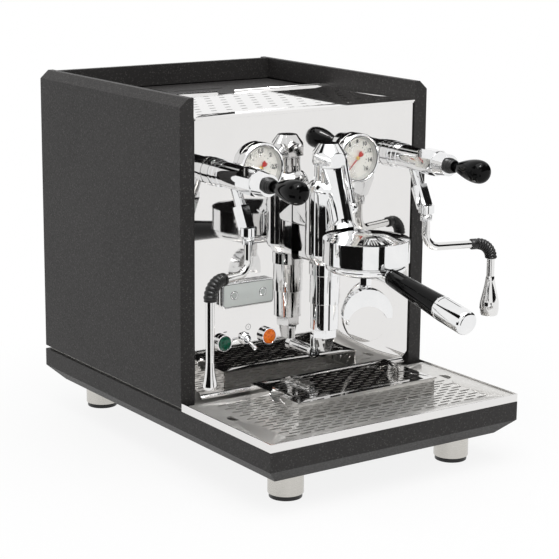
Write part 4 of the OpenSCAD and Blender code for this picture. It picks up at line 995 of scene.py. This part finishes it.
def uprightStrip(start, end, radius, low, high):
    # a strip bent around the object
    bm = bmesh.new()
    foot = bm.verts.new((radius * math.cos(math.radians(start)), radius * math.sin(math.radians(start)), low))
    head = bm.verts.new((foot.co.x, foot.co.y, high))
    edge = bm.edges.new((foot, head))
    bmesh.ops.spin(bm, geom=[foot, head, edge], cent=(0, 0, 0), axis=(0, 0, 1),
                   angle=math.radians(end - start), steps=16)
    return bm


def buildCards():
    black = cardMaterial("cardBlack", Roughness=1.0, Specular_IOR_Level=0.0)
    for i, card in enumerate(studio["cards"]):
        addCard("darkCard%d" % i, uprightStrip(*card), black)
    glow = cardMaterial("cardGlow", Emission_Strength=studio["glow"], Emission_Color=white)
    addCard("glowCard", uprightStrip(*studio["glowCard"]), glow)
    # the bright square puts a highlight on the glossy black parts
    position, size, strength = studio["spark"]
    square = squareSheet(size / 2)
    bmesh.ops.translate(square, vec=position, verts=square.verts)
    addCard("sparkCard", square, cardMaterial("sparkGlow", Emission_Strength=strength, Emission_Color=white))


def softbox(name, position, target, size, power):
    light = bpy.data.lights.new(name, "AREA")
    light.shape = "RECTANGLE"
    light.size, light.size_y = size
    light.energy = power
    holder = bpy.data.objects.new(name, light)
    bpy.context.scene.collection.objects.link(holder)
    holder.location = position
    holder.rotation_euler = (Vector(target) - Vector(position)).to_track_quat("-Z", "Y").to_euler()


def buildLight():
    world = bpy.data.worlds.new("studioWorld")
    bpy.context.scene.world = world
    world.use_nodes = True
    tree = world.node_tree
    background = tree.nodes["Background"]
    strength = remap(tree, seenRay(tree), 0.0, 1.0, studio["ambient"], 1.0)
    tree.links.new(strength, background.inputs["Strength"])
    background.inputs["Color"].default_value = white
    softbox("topSoftbox", (-0.2, -0.5, 2.0), (0, 0.05, 0.2), (1.8, 1.8), studio["topPower"])
    softbox("rightSoftbox", (1.9, -1.4, 1.0), (0, -0.1, 0.2), (1.2, 1.6), studio["sidePower"])


def buildCamera():
    camera = bpy.data.cameras.new("photoCamera")
    camera.sensor_width = view["sensor"]
    camera.lens = view["lens"]
    camera.clip_end = view["farthest"]
    holder = bpy.data.objects.new("photoCamera", camera)
    bpy.context.scene.collection.objects.link(holder)
    holder.location = view["place"]
    holder.rotation_euler = [math.radians(a) for a in view["turn"]]
    bpy.context.scene.camera = holder
    bpy.context.scene.view_settings.view_transform = "Standard"


stageObject("studioFloor", squareSheet(studio["floor"]), floorPaper())
buildCards()
buildLight()
buildCamera()
print("studio built")
